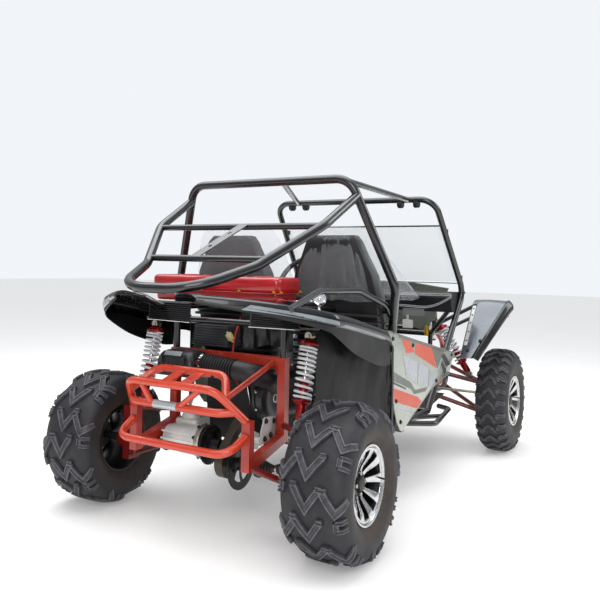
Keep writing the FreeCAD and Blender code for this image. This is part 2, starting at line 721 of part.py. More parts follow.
def make_floor_pan():
    up, wall = Vector(0, 0, 1), size("floor_thickness")
    z = size("rail_z") + size("rail_tube") / 2 + size("seat_gap")
    gap = size("rail_tube") / 2 + size("seat_gap")
    y = hoop_foot.y - gap
    rear_x, mid_x = hoop_foot.x + gap, front_foot.x - gap
    front_x = rack_x - size("rack_housing_radius") - 2 * size("running_clear")
    wide = plate([Vector(rear_x, -y, z), Vector(mid_x, -y, z), Vector(mid_x, y, z),
                  Vector(rear_x, y, z)], up, wall)
    well_y = size("foot_well_y")
    foot_well = plate([Vector(front_foot.x + gap, -y, z), Vector(front_x, -well_y, z),
                       Vector(front_x, well_y, z), Vector(front_foot.x + gap, y, z)], up, wall)
    pan = side_by_side([wide, foot_well])
    keep("floor_pan", coped(pan, "front_hoop", "main_hoop", "floor_frame"))


def make_front_bumper():
    end_x = front_axle + size("front_overhang") - size("bumper_tube") / 2
    y = size("bull_bar_y")
    low = Vector(end_x, y, size("bull_bar_low_z"))
    top = Vector(end_x, y, size("bull_bar_top_z"))
    pieces = []
    for side in (left, right):
        path = [Vector(nose_low.x, y, nose_low.z), low, top, Vector(nose_high.x, y, nose_high.z)]
        pieces.append(tube([on(side, p) for p in path], size("bumper_tube"), size("tube_bend")))
    for share in bull_bar_shares:
        bar = along(low, top, share)
        pieces.append(rod(bar, across(bar), size("cross_tube") / 2))
    keep("front_bumper", coped(joined(pieces), "floor_frame"))


def make_side_steps():
    z = size("sill_z")
    start = Vector(rear("step_rear_x"), hoop_foot.y, z)
    out = Vector(rear("step_corner_x"), size("step_y"), z)
    far = Vector(rear("step_front_x"), size("step_front_y"), z)
    end = Vector(rear("step_end_x"), hoop_foot.y, z)
    loop = tube([start, out, far, end], size("step_tube"), size("tube_bend") / 2)
    middle = along(out, far, middle_share)
    brace = rod(Vector(along(start, end, step_brace_share).x, hoop_foot.y, z), middle, size("brace_tube") / 2)
    step = joined([loop, brace])
    steps = [coped(step, "floor_frame"), coped(flipped(step), "floor_frame")]
    keep("side_steps", side_by_side(steps))


# Body panels
def make_side_panels():
    # A flat panel with a folded edge along its top, padded from a side view
    panel = body("side_panel")
    corners = [("rear_axle + panel_rear_top_x", "panel_rear_top_z"),
               ("front_axle + panel_front_top_fx", "panel_front_top_z"),
               ("front_axle + panel_front_tip_fx", "panel_front_tip_z"),
               ("front_axle + panel_step_fx", "panel_step_z"),
               ("rear_axle + panel_rear_low_x", "panel_rear_low_z")]
    plane = "hoop_waist_y + hoop_tube / 2 + seat_gap + panel_wall"
    face = outline(panel, "panel_side", "side", corners, place=("0", plane, "0"))
    pad(panel, face, "panel_wall")
    keep("side_panels", coped(both_sides(panel), "main_hoop", "front_hoop", "side_steps"))


def shell_section(x, inner_y, outer_y, z_inner, z_outer, lip, wall):
    points = [Vector(x, inner_y, z_inner), Vector(x, outer_y, z_outer),
              Vector(x, outer_y, z_outer - lip), Vector(x, outer_y - wall, z_outer - lip),
              Vector(x, outer_y - wall, z_outer - wall), Vector(x, inner_y, z_inner - wall)]
    return ring(points)


def make_rear_fenders():
    wall = size("fender_wall")
    lip = size("fender_lip")
    inner_y = size("fender_inner_y")
    tail = shell_section(rear("fender_tail_x"), size("fender_tail_y") / 2, size("fender_tail_y"),
                         size("fender_tail_z"), size("fender_tail_z"), lip / 2, wall)
    wide = shell_section(rear("fender_wide_x"), inner_y, size("fender_wide_y"),
                         size("fender_wide_z") + wall, size("fender_wide_z"), lip, wall)
    end_z = size("fender_front_z")
    end = shell_section(rear("fender_front_x"), 2 * inner_y - wall, size("fender_front_y"),
                        end_z + wall, end_z, lip, wall)
    top = joined([lofted([tail, wide]), lofted([wide, end])])
    liner_rear = Vector(rear("liner_inner_x"), size("liner_inner_y"), size("liner_low_z"))
    liner_front = Vector(rear("liner_outer_x"), panel_inner_y - wall, size("liner_low_z"))
    heading = (liner_front - liner_rear).normalize()
    wall_way = Vector(-heading.y, heading.x, 0) * wall
    liner = plate([liner_rear, liner_front, liner_front + wall_way, liner_rear + wall_way],
                  Vector(0, 0, 1), size("liner_top_z") - size("liner_low_z"))
    fender = side_by_side([top, liner])
    keep("rear_fenders", coped(both_sides(fender), "main_hoop", "deck_frame", "rear_cage",
                                "side_panels", "engine_subframe"))


fender_stations = [
    (front("front_fender_low_fx"), size("front_fender_low_z"), size("front_fender_low_y")),
    (front("front_fender_rear_fx"), size("front_fender_top_z"), size("front_fender_outer_y")),
    (front("front_fender_end_fx"), size("front_fender_end_z"), size("front_fender_outer_y")),
]


def front_fender_z(x):
    for (x0, z0, y0), (x1, z1, y1) in zip(fender_stations, fender_stations[1:]):
        if x0 <= x <= x1:
            return z0 + (z1 - z0) * (x - x0) / (x1 - x0) - size("fender_wall") / 2
    return size("front_fender_end_z")


def make_front_fenders():
    wall = size("fender_wall")
    inner = size("fender_edge_y")
    spans = []
    for (x0, z0, y0), (x1, z1, y1) in zip(fender_stations, fender_stations[1:]):
        sections = []
        for x, z, y in ((x0, z0, y0), (x1, z1, y1)):
            sections.append(shell_section(x, inner, y, z, z, size("fender_lip") / 2, wall))
        spans.append(lofted(sections))
    fender = joined(spans)
    keep("front_fenders", both_sides(fender))


def make_nose_panel():
    wall = size("nose_wall")
    lift = size("cross_tube") / 2 + wall + size("seat_gap")
    stations = []
    for x, y, z in ((front("cowl_fx") + size("front_hoop_tube"), cowl.y - size("tube_bend"),
                     cowl.z),
                    (brace_high.x, size("nose_front_y") + size("cross_tube") / 2, brace_high.z),
                    (nose_high.x + size("cross_tube") / 2, size("nose_front_y"), nose_high.z)):
        top = z + lift
        crown = size("nose_crown")
        points = [Vector(x, -y, top), Vector(x, -y / 2, top + crown), Vector(x, y / 2, top + crown),
                  Vector(x, y, top), Vector(x, y, top - wall),
                  Vector(x, y / 2, top + crown - wall), Vector(x, -y / 2, top + crown - wall),
                  Vector(x, -y, top - wall)]
        stations.append(ring(points))
    spans = [lofted([a, b]) for a, b in zip(stations, stations[1:])]
    keep("nose_panel", coped(joined(spans), "floor_frame", "front_hoop", "dash"))


# Cabin
def make_dash():
    # A closed board with a leaning face and a rounded brow, cut away round the steering column
    half = "cowl_y - front_hoop_tube / 2 - seat_gap"
    board = body("dash_board")
    face = outline(board, "dash_side", "side", [
        ("0", "0"), ("-dash_depth", "0"), ("-dash_depth - dash_lean", "-dash_lean"),
        ("-dash_depth", "-dash_height"), ("0", "-dash_height")],
        place=("front_axle + cowl_fx", half, "cowl_z"))
    shell = pad(board, face, "2 * (%s)" % half)
    opening = tube(column_path, 2 * (size("column_radius") + size("running_clear")),
                   size("tube_bend"))
    doc.recompute()
    brow = [name for name, edge in zip(edge_names(shell), shell.Shape.Edges)
            if edge.Length > cowl.y and edge.CenterOfMass.x < cowl.x - size("dash_depth") / 2
            and edge.CenterOfMass.z > cowl.z - size("dash_height") / 2]
    rounded(board, shell, brow, "dash_round")
    keep("dash", coped(less(board, opening), "front_hoop", "floor_frame"))


def make_windscreen():
    slope = (screen_top - cowl).normalize()
    forward = Vector(-slope.z, 0, slope.x).normalize() * -1
    lift = size("front_hoop_tube") / 2 + size("seat_gap")
    low = at_height(cowl, screen_top, size("screen_low_z"))
    high = at_height(cowl, screen_top, size("screen_high_z"))
    corners = [low, high, across(high), across(low)]
    leg = (high - low)
    normal = leg.cross(Vector(0, 1, 0)).normalize()
    if normal.x < 0:
        normal = normal * -1
    corners = [p + normal * lift for p in corners]
    keep("windscreen", plate(corners, normal, size("screen_wall")))


def seat_section(x, z, width, depth, y):
    # A level section of a bucket seat's back: two side bolsters with a hollow between them
    half, bolster, hollow = width / 2, size("seat_bolster"), size("seat_hollow")
    inner = half - bolster
    return ring([Vector(x, y - half, z), Vector(x - depth, y - half * seat_back_share, z),
                 Vector(x - depth, y + half * seat_back_share, z), Vector(x, y + half, z),
                 Vector(x, y + inner, z), Vector(x - hollow, y + inner - hollow, z),
                 Vector(x - hollow, y - inner + hollow, z), Vector(x, y - inner, z)])


def cushion_section(x, base_z, top_z, width, y):
    half, bolster, hollow = width / 2, size("seat_bolster"), size("seat_hollow")
    inner = half - bolster
    return ring([Vector(x, y - half, base_z), Vector(x, y + half, base_z),
                 Vector(x, y + half, top_z), Vector(x, y + inner, top_z),
                 Vector(x, y + inner - hollow, top_z - hollow),
                 Vector(x, y - inner + hollow, top_z - hollow),
                 Vector(x, y - inner, top_z), Vector(x, y - half, top_z)])


def make_seats():
    depth = size("seat_thickness")
    floor_top = size("rail_z") + size("rail_tube") / 2 + size("seat_gap") + size("floor_thickness")
    base_z = size("seat_cushion_z") - depth
    rails = []
    for name, side in sides.items():
        y = side * size("seat_y")
        base_x, top_x = rear("seat_base_x"), rear("seat_top_x")
        top_z = size("seat_top_z")
        shoulder = (size("seat_shoulder_z") - base_z) / (top_z - base_z)
        shoulder_x = base_x + (top_x - base_x) * shoulder
        back = lofted([
            seat_section(base_x, base_z, size("seat_width"), depth, y),
            seat_section(shoulder_x, size("seat_shoulder_z"), size("seat_wide"), depth, y),
            seat_section(top_x, top_z, size("seat_top_width"), depth * seat_top_share, y)])
        cushion = lofted([
            cushion_section(x, base_z, base_z + depth, size("seat_width"), y)
            for x in (base_x - depth / 2, rear("seat_front_x"))])
        keep("seat_" + name, coped(joined([back, cushion]), "main_hoop", "deck_frame",
                                   "rear_fenders"))
        for step in (-1, 1):
            rails.append(block(
                rear("seat_front_x") - base_x - depth, size("seat_rail_width"),
                base_z - floor_top - 2 * size("joint_gap"),
                Vector(base_x + depth / 2,
                       y + step * size("seat_rail_y") - size("seat_rail_width") / 2,
                       floor_top + size("joint_gap"))))
    keep("seat_rails", side_by_side(rails))


def make_fuel_tank():
    # A pressed shell in two halves, with the welded lip between them
    tank = body("fuel_tank")
    edge = outline(tank, "tank_plan", "plan", [
        ("0", "0"), ("tank_depth", "0"), ("tank_depth", "tank_left_y - tank_right_y"),
        ("0", "tank_left_y - tank_right_y")], place=("rear_axle + tank_x", "tank_right_y", "tank_z"))
    shell = pad(tank, edge, "tank_height")
    rounded(tank, shell, edge_names(shell), "tank_edge")
    lip = outline(tank, "tank_lip", "plan", [
        ("-tank_lip", "-tank_lip"), ("tank_depth + tank_lip", "-tank_lip"),
        ("tank_depth + tank_lip", "tank_left_y - tank_right_y + tank_lip"),
        ("-tank_lip", "tank_left_y - tank_right_y + tank_lip")],
        place=("rear_axle + tank_x", "tank_right_y", "tank_z + tank_seam_height"))
    pad(tank, lip, "tank_lip_wall")
    cap_spot = Vector(rear("cap_x"), size("tank_right_y") - size("cap_reach"), size("cap_z"))
    neck = rod(Vector(cap_spot.x, size("tank_right_y") + size("tank_edge"), cap_spot.z), cap_spot,
               size("cap_neck_radius"))
    stem = rod(cap_spot - Vector(0, 0, size("cap_neck_radius")),
               cap_spot + Vector(0, 0, size("cap_rise")), size("cap_neck_radius"))
    cap = rod(cap_spot + Vector(0, 0, size("cap_rise") - size("cap_wall")),
              cap_spot + Vector(0, 0, size("cap_rise")), size("cap_radius"))
    keep("fuel_tank", joined([tank, neck, stem, cap]))


def edge_names(feature):
    doc.recompute()
    return ["Edge%d" % (i + 1) for i in range(len(feature.Shape.Edges))]


# Engine and drive
engine_floor = size("rail_z") + size("cross_tube") / 2 + size("seat_gap")


def make_engine():
    block = box("engine_block", ("rear_axle + engine_x", "-engine_width / 2",
                                 "rail_z + cross_tube / 2 + seat_gap"),
                ("engine_length", "engine_width", "engine_height"))
    keep("engine_block", block)
    cover = body("engine_cover")
    slot = slot_outline(cover, "cover_side", ("rear_axle + cover_rear_x", "cover_z"),
                        ("rear_axle + cover_front_x", "cover_z"), "cover_radius",
                        "-engine_width / 2 - seat_gap")
    shell = pad(cover, slot, "cover_thickness")
    ribs = slot_outline(cover, "cover_face", ("rear_axle + cover_rear_x", "cover_z"),
                        ("rear_axle + cover_front_x", "cover_z"), "cover_radius - cover_step",
                        "-engine_width / 2 - seat_gap - cover_thickness + cover_step")
    doc.recompute()
    pad(cover, ribs, "cover_step + plate_thickness")
    keep("engine_cover", cover)


def slot_outline(owner, name, first, last, radius, y):
    # Two level lines with a half circle at each end, as of a belt or chain case
    (x0, z0), (x1, z1) = first, last
    wide = "(" + radius + ")"
    points = [(x0, z0 + " - " + wide), (x1, z1 + " - " + wide), (x1 + " + " + wide, z1),
              (x1, z1 + " + " + wide), (x0, z0 + " + " + wide), (x0 + " - " + wide, z0)]
    quarter = (radius, 1)
    return outline(owner, name, "side", points, {1: quarter, 2: quarter, 4: quarter, 5: quarter},
                   ("0", y, "0"))


def shaft_end(name):
    y = size("upright_y") - size("bearing_length") / 4 - size("shaft_gap")
    return Vector(rear_axle, sides[name] * y, size("rear_tyre_radius"))


def shaft_axis(name, inner_y, inner_z):
    start = Vector(rear_axle, inner_y, inner_z)
    return start, (shaft_end(name) - start).normalize()


shaft_axes = {
    "left": shaft_axis("left", size("housing_outer_y"), size("drive_axis_z")),
    "right": shaft_axis("right", size("disc_y") - size("socket_depth"), size("disc_z")),
}


def make_final_drive():
    # The chain's housing across the rear axle, a flanged ring beside it and the neck to the engine
    reach = rear("engine_x") - size("seat_gap") - rear_axle
    inner, outer = size("housing_inner_y"), size("housing_outer_y")
    case = body("housing")
    half = outline(case, "housing_profile", "end", [
        ("guard_y + seat_gap", "0"), ("housing_outer_y", "0"),
        ("housing_outer_y", "housing_radius - housing_round"),
        ("housing_outer_y - housing_round", "housing_radius"),
        ("housing_inner_y", "housing_radius"), ("housing_inner_y", "hub_ring_radius"),
        ("housing_inner_y - ring_wall", "hub_ring_radius"),
        ("housing_inner_y - ring_wall", "hub_neck_radius"),
        ("housing_inner_y - hub_ring_length + ring_wall", "hub_neck_radius"),
        ("housing_inner_y - hub_ring_length + ring_wall", "hub_ring_radius"),
        ("housing_inner_y - hub_ring_length", "hub_ring_radius"),
        ("housing_inner_y - hub_ring_length", "hub_neck_radius"),
        ("guard_y + seat_gap", "hub_neck_radius")])
    placed(case, ("rear_axle", "0", "drive_axis_z"))
    turned(case, half)
    neck = block(reach, outer - inner - size("hub_ring_length") / 2, 2 * size("housing_radius"),
                 Vector(rear_axle, inner, size("drive_axis_z") - size("housing_radius") / 4))
    start, way = shaft_axes["left"]
    socket = rod(start - way * size("socket_depth"), start + way * size("socket_depth"),
                 size("shaft_radius") + size("running_gap"))
    keep("final_drive", less(joined([case, neck]), socket))


def make_chain_guard():
    # A case round the chain's lower run, with a groove pressed into its face
    rear_end = Vector(rear_axle, size("guard_y"), size("disc_z"))
    front_end = Vector(rear("cover_rear_x"), size("guard_y"), size("cover_z"))
    run = along(Vector(), front_end - rear_end, chain_guard_share)
    radius = size("guard_radius")
    guard = body("guard")
    guard.Placement = Placement(rear_end, Rotation(Vector(0, 1, 0), -math.degrees(
        math.atan2(run.z, run.x))))
    length = "%s * sqrt((cover_rear_x)^2 + (cover_z - disc_z)^2)" % chain_guard_share
    shape = slot_outline(guard, "guard_side", ("0", "0"), (length, "0"), "guard_radius", "0")
    pad(guard, shape, "guard_wall")
    doc.recompute()
    groove = slot_outline(guard, "guard_groove", ("0", "0"), (length, "0"),
                          "guard_radius - guard_edge", "-guard_wall")
    pocket(guard, groove, "guard_press")
    keep("chain_guard", guard)


def make_brake_disc():
    disc = body("disc")
    half = outline(disc, "disc_profile", "end", [
        ("-socket_depth", "0"), ("guard_y - guard_wall + guard_press - seat_gap - disc_y", "0"),
        ("guard_y - guard_wall + guard_press - seat_gap - disc_y", "disc_hub_radius"),
        ("disc_wall", "disc_hub_radius"), ("disc_wall", "disc_radius"), ("0", "disc_radius"),
        ("0", "disc_hub_radius"), ("-socket_depth", "disc_hub_radius")])
    placed(disc, ("rear_axle", "disc_y", "disc_z"))
    turned(disc, half)
    doc.recompute()
    window = outline(disc, "disc_window", "side", [
        ("-disc_window_foot / 2", "disc_hub_radius + disc_wall"),
        ("disc_window_foot / 2", "disc_hub_radius + disc_wall"),
        ("disc_window_mouth / 2", "disc_radius - disc_band"),
        ("-disc_window_mouth / 2", "disc_radius - disc_band")])
    hole = pocket(disc, window, "disc_wall")
    doc.recompute()
    repeated(disc, [hole], window, "N_Axis", "disc_window_count")
    start, way = shaft_axes["right"]
    socket = rod(start - way * size("socket_depth"), start + way * size("socket_depth"),
                 size("shaft_radius") + size("running_gap"))
    keep("brake_disc", less(disc, socket))


def make_air_box():
    air_box = body("air_filter_box")
    base = outline(air_box, "box_plan", "plan", [
        ("0", "0"), ("air_box_length - seat_gap", "0"),
        ("air_box_length - seat_gap", "air_box_width"), ("0", "air_box_width")],
        place=("rear_axle + post_x - post_width / 2 - air_box_length", "air_box_y",
               "post_top_z - cross_tube - air_box_height / 2"))
    shell = pad(air_box, base, "air_box_height")
    rounded(air_box, shell, edge_names(shell), "air_box_edge")
    keep("air_box", air_box)
    # A bellows: even folds along the first part of the hose, then a plain end
    hose = body("hose")
    fold = "hose_length / hose_step_count"
    points = [("0", "0")]
    steps = int(size("hose_step_count"))
    folds = int(size("hose_fold_count"))
    for step in range(folds):
        root = "-%d * %s" % (step, fold)
        points += [(root, "hose_radius - hose_fold"), (root + " - %s / 4" % fold, "hose_radius"),
                   (root + " - 3 * %s / 4" % fold, "hose_radius")]
    points += [("-%d * %s" % (folds, fold), "hose_radius - hose_fold"),
               ("-hose_length", "hose_radius - hose_fold"), ("-hose_length", "0")]
    profile = outline(hose, "hose_profile", "end", points)
    placed(hose, ("rear_axle + post_x - post_width / 2 - air_box_length / 2",
                  "air_box_y - seat_gap", "post_top_z - cross_tube"))
    turned(hose, profile)
    keep("intake_hose", hose)


# Suspension and wheels
def make_arm(inner_rear, inner_front, ball, eye_way):
    radius = size("arm_tube") / 2
    eye_top = ball + eye_way * (size("eye_height") / 2)
    eye_low = ball - eye_way * (size("eye_height") / 2)
    return joined([rod(inner_rear, ball, radius), rod(inner_front, ball, radius),
                   rod(eye_low, eye_top, size("eye_radius"))])


def level_arm(inner_rear, inner_front, ball, top_side):
    # Nothing of the arm stands over the face that the knuckle turns on
    arm = make_arm(inner_rear, inner_front, ball, Vector(0, 0, 1))
    face = ball.z + top_side * size("eye_height") / 2
    far = Vector(ball.x, ball.y, face + top_side * size("king_pin_y"))
    return less(arm, rod(Vector(ball.x, ball.y, face), far,
                         size("king_pin_radius") + size("eye_radius")))


def make_front_arms():
    arms = []
    low_ball = Vector(front_axle, size("king_pin_y"), size("ball_low_z"))
    high_ball = Vector(front_axle, size("king_pin_y"), size("ball_high_z"))
    low_rear = Vector(brace_low.x, size("rail_y"), size("rail_z"))
    low_front = Vector(nose_low.x, size("rail_y"), size("rail_z"))
    high_rear = Vector(brace_low.x, size("rail_y"), size("front_arm_high_z"))
    high_front = Vector(nose_low.x, size("rail_y"), size("front_arm_high_z"))
    for side in (left, right):
        low = level_arm(*[on(side, p) for p in (low_rear, low_front, low_ball)], 1)
        high = level_arm(*[on(side, p) for p in (high_rear, high_front, high_ball)], -1)
        arms.append(coped(low, "floor_frame"))
        arms.append(coped(high, "floor_frame"))
    keep("front_arms", side_by_side(arms))


def spring(start, end):
    # A coil spring as a turned form, one ridge to each coil
    coil = body("spring")
    coil.Placement = Placement(start, Rotation(Vector(0, 1, 0), end - start))
    count = int(size("coil_count"))
    pitch = (end - start).Length / count
    inner = "spring_radius - spring_wire"
    points = [("0", "0"), ("%.9g" % (pitch * count), "0"), ("%.9g" % (pitch * count), inner)]
    for i in reversed(range(count)):
        points.append(("%.9g" % (pitch * (i + middle_share)), "spring_radius"))
        points.append(("%.9g" % (pitch * i), inner))
    turned(coil, outline(coil, "spring_profile", "end", points))
    return coil


def shock(top, foot):
    heading = top - foot
    pin = Vector(1, 0, 0) * size("shock_eye_radius")
    damper = rod(foot, top, size("shock_radius"))
    coil = spring(along(foot, top, size("spring_foot_share")),
                  along(foot, top, size("spring_top_share")))
    eyes = [rod(p - pin, p + pin, size("shock_eye_radius")) for p in (top, foot)]
    return joined([damper, coil] + eyes)


def make_front_shocks():
    high_inner = Vector(front_axle, size("rail_y"), size("front_arm_high_z"))
    ball = Vector(front_axle, size("king_pin_y"), size("ball_high_z"))
    foot = along(high_inner, ball, size("front_shock_share"))
    foot = foot + Vector(0, 0, size("arm_tube") / 2 + size("shock_eye_radius"))
    top_y = size("rail_y") + size("cross_tube") / 2 + size("shock_eye_radius") + size("seat_gap")
    top = Vector(front_axle, top_y, size("front_shock_top_z"))
    shocks = [coped(shock(on(side, top), on(side, foot)), "floor_frame", "front_arms",
                    "nose_panel") for side in (left, right)]
    keep("front_shocks", side_by_side(shocks))


def make_rear_shocks():
    top_z = size("shock_beam_z") - size("cross_tube") / 2 - size("shock_eye_radius")
    top = Vector(rear("post_x"), size("rear_shock_y"), top_z - size("seat_gap"))
    foot = Vector(rear("rear_shock_foot_x"), size("rear_shock_y"), size("rear_shock_foot_z"))
    shocks = [coped(shock(on(side, top), on(side, foot)), "deck_frame", "rear_arms")
              for side in (left, right)]
    keep("rear_shocks", side_by_side(shocks))


def make_rear_arms():
    y = size("upright_y")
    wall = size("upright_wall")
    radius = size("arm_tube") / 2
    axle_z = size("rear_tyre_radius")
    arms = []
    plate_low = Vector(rear_axle - size("upright_width") / 2, y, size("upright_low_z"))
    bore = size("axle_radius") + size("running_gap")
    upright = block(size("upright_width"), wall,
                           size("upright_high_z") - size("upright_low_z"), plate_low)
    hub_start = Vector(rear_axle, y, axle_z)
    hub_end = Vector(rear_axle, y + size("bearing_length"), axle_z)
    bearing = rod(hub_start, hub_end, size("bearing_radius"))
    low = Vector(rear_axle, y + wall / 2, size("upright_low_z") + radius)
    high = Vector(rear_axle, y + wall / 2, size("upright_high_z") - radius)
    low_pivots = [Vector(rear("rear_arm_x"), size("rail_y"), size("rail_z")), corner_foot]
    pieces = [upright, bearing]
    for pivot in low_pivots:
        pieces.append(rod(pivot, low, radius))
    high_pivots = [Vector(post_top.x, post_top.y, high.z)]
    for pivot in high_pivots:
        pieces.append(rod(pivot, high, radius))
    shelf = Vector(rear("rear_shock_foot_x"), size("rear_shock_y"),
                   size("rear_shock_foot_z") - size("shock_eye_radius"))
    pieces.append(rod(shelf, Vector(rear_axle, y + wall / 2, high.z - radius), radius))
    arm = less(joined(pieces), rod(hub_start - Vector(0, wall, 0), hub_end + Vector(0, wall, 0),
                                   bore))
    for side in (left, right):
        arms.append(coped(arm if side == left else flipped(arm), "floor_frame",
                          "engine_subframe"))
    keep("rear_arms", side_by_side(arms))


def make_tyre(label, where, turn):
    # The carcass is turned, the lugs are padded out of it and a groove trims them to the crown
    tyre = body("tyre_" + label)
    top = where + "_tyre_radius"
    bead_y = where + "_rim_width / 2 - seat_gap"
    bead, flange = "bead_radius + seat_gap", "rim_radius + seat_gap"
    crown, shoulder = where + "_crown_y", where + "_shoulder_y"
    crown_z, shoulder_z = top + " - crown_fall", top + " - shoulder_fall"
    wall, flat = where + "_wall_y", where + "_flat_y"
    half = [(bead_y, bead), (bead_y, flange), (wall, where + "_wall_low"),
            (wall, where + "_wall_high"), (shoulder, shoulder_z + " - lug_height"),
            (crown, crown_z + " - lug_height"), (flat, top + " - lug_height")]
    carcass = outline(tyre, "carcass", "end",
                      half + [("-(%s)" % y, z) for y, z in reversed(half)])
    turned(tyre, carcass)
    doc.recompute()
    point, tail, span, width = [where + "_lug_" + name for name in ("point", "tail", "span", "width")]
    base = ("0", "0", top + " - lug_depth")
    vee = outline(tyre, "vee", "plan", [
        (turn[0] + point, "0"), (turn[1] + tail, "-" + span),
        (turn[1] + tail + turn[2] + width, "-" + span), (turn[0] + point + turn[2] + width, "0"),
        (turn[1] + tail + turn[2] + width, span), (turn[1] + tail, span)], place=base)
    lugs = [pad(tyre, vee, "lug_depth")]
    near, far, slant, breadth = [where + "_block_" + name
                                 for name in ("in", "out", "slant", "width")]
    for way in ("", "-"):
        doc.recompute()
        block_edge = outline(tyre, "shoulder_block", "plan", [
            ("-%s / 2" % breadth, way + near), ("%s / 2" % breadth, way + near),
            ("%s + %s / 2" % (slant, breadth), way + far),
            ("%s - %s / 2" % (slant, breadth), way + far)], place=base)
        lugs.append(pad(tyre, block_edge, "lug_depth"))
    doc.recompute()
    repeated(tyre, lugs, carcass, "H_Axis", where + "_lug_count")
    doc.recompute()
    wide, high = where + "_tyre_width / 2 + lug_height", top + " + lug_height"
    trim = outline(tyre, "tread_trim", "end", [
        (wide, high), ("-(%s)" % wide, high), ("-(%s)" % wide, shoulder_z),
        ("-" + shoulder, shoulder_z), ("-" + crown, crown_z), ("-" + flat, top), (flat, top),
        (crown, crown_z), (shoulder, shoulder_z), (wide, shoulder_z)])
    turned(tyre, trim, "Groove")
    return placed(tyre, (where + "_axle", where + "_track / 2", top))


def make_rim(label, where, back):
    # The barrel, the disc and the hub are turned as one, then the windows are cut
    rim = body("rim_" + label)
    half = where + "_rim_width / 2"
    face = half + " + flange_thickness"
    disc = face + " - disc_inset"
    bed = "bead_radius - rim_wall"
    profile = outline(rim, "rim_profile", "end", [
        ("-(%s)" % face, bed), ("-(%s)" % face, "rim_radius"), ("-" + half, "rim_radius"),
        ("-" + half, "bead_radius"), (half, "bead_radius"), (half, "rim_radius"),
        (face, "rim_radius"), (face, bed), (disc, bed), (disc, "hub_radius"),
        (disc + " + disc_inset / 2", "hub_radius"), (disc + " + disc_inset / 2", "0")] + [
        (disc + y if y.startswith(" ") or not y else y, r) for y, r in back] + [
        (disc + " - disc_thickness", "hub_radius"), (disc + " - disc_thickness", bed)])
    turned(rim, profile)
    doc.recompute()
    window = outline(rim, "rim_window", "side", [
        ("-window_foot / 2", "hub_radius + window_edge"),
        ("window_foot / 2", "hub_radius + window_edge"),
        ("window_mouth / 2", bed + " - window_edge"),
        ("-window_mouth / 2", bed + " - window_edge")], place=("0", disc, "0"))
    hole = pocket(rim, window, "disc_thickness + rim_wall", True)
    doc.recompute()
    repeated(rim, [hole], window, "N_Axis", "window_count")
    return placed(rim, (where + "_axle", where + "_track / 2", where + "_tyre_radius"))


# Inboard side of each hub, from the disc: the driven axle's stub, or the bore of a front hub
hub_backs = {
    "rear": [("-(rear_track / 2 - upright_y + bearing_length / 4)", "0"),
             ("-(rear_track / 2 - upright_y + bearing_length / 4)", "axle_radius"),
             (" - hub_length / 2", "axle_radius"), (" - hub_length / 2", "hub_radius")],
    "front": [("", "0"), ("", "axle_radius + running_gap"),
              (" - hub_length", "axle_radius + running_gap"), (" - hub_length", "hub_radius")],
}
tread_turns = {"rear": ("-", "", " + "), "front": ("", "-", " - ")}


def make_wheels():
    for where in ("front", "rear"):
        tyre = make_tyre(where + "_left", where, tread_turns[where])
        rim = make_rim(where + "_left", where, hub_backs[where])
        keep("tyre_%s_left" % where, tyre)
        keep("rim_%s_left" % where, rim)
        keep("tyre_%s_right" % where, flipped(tyre))
        keep("rim_%s_right" % where, flipped(rim))


def make_knuckles():
    face = size("front_rim_width") / 2 + size("flange_thickness") - size("disc_inset")
    axle_z = size("front_tyre_radius")
    for name, side in sides.items():
        pin_y = size("king_pin_y")
        low = size("ball_low_z") + size("eye_height") / 2 + size("joint_gap")
        high = size("ball_high_z") - size("eye_height") / 2 - size("joint_gap")
        pin = rod(Vector(front_axle, pin_y, low), Vector(front_axle, pin_y, high),
                  size("king_pin_radius"))
        end_y = size("front_track") / 2 + face - size("joint_gap")
        spindle = rod(Vector(front_axle, pin_y, axle_z), Vector(front_axle, end_y, axle_z),
                      size("axle_radius"))
        arm_z, wall = size("steer_arm_z"), size("steer_arm_wall")
        tip = Vector(front_axle - size("steer_arm"), pin_y, arm_z)
        half = Vector(0, size("tie_end_radius"), 0)
        root = Vector(front_axle, pin_y, arm_z)
        arm = plate([root - half, tip - half, tip + half, root + half], Vector(0, 0, 1), wall)
        end = rod(tip, tip + Vector(0, 0, wall), size("tie_end_radius"))
        knuckle = joined([pin, spindle, arm, end])
        keep("knuckle_" + name, knuckle if side == left else flipped(knuckle))


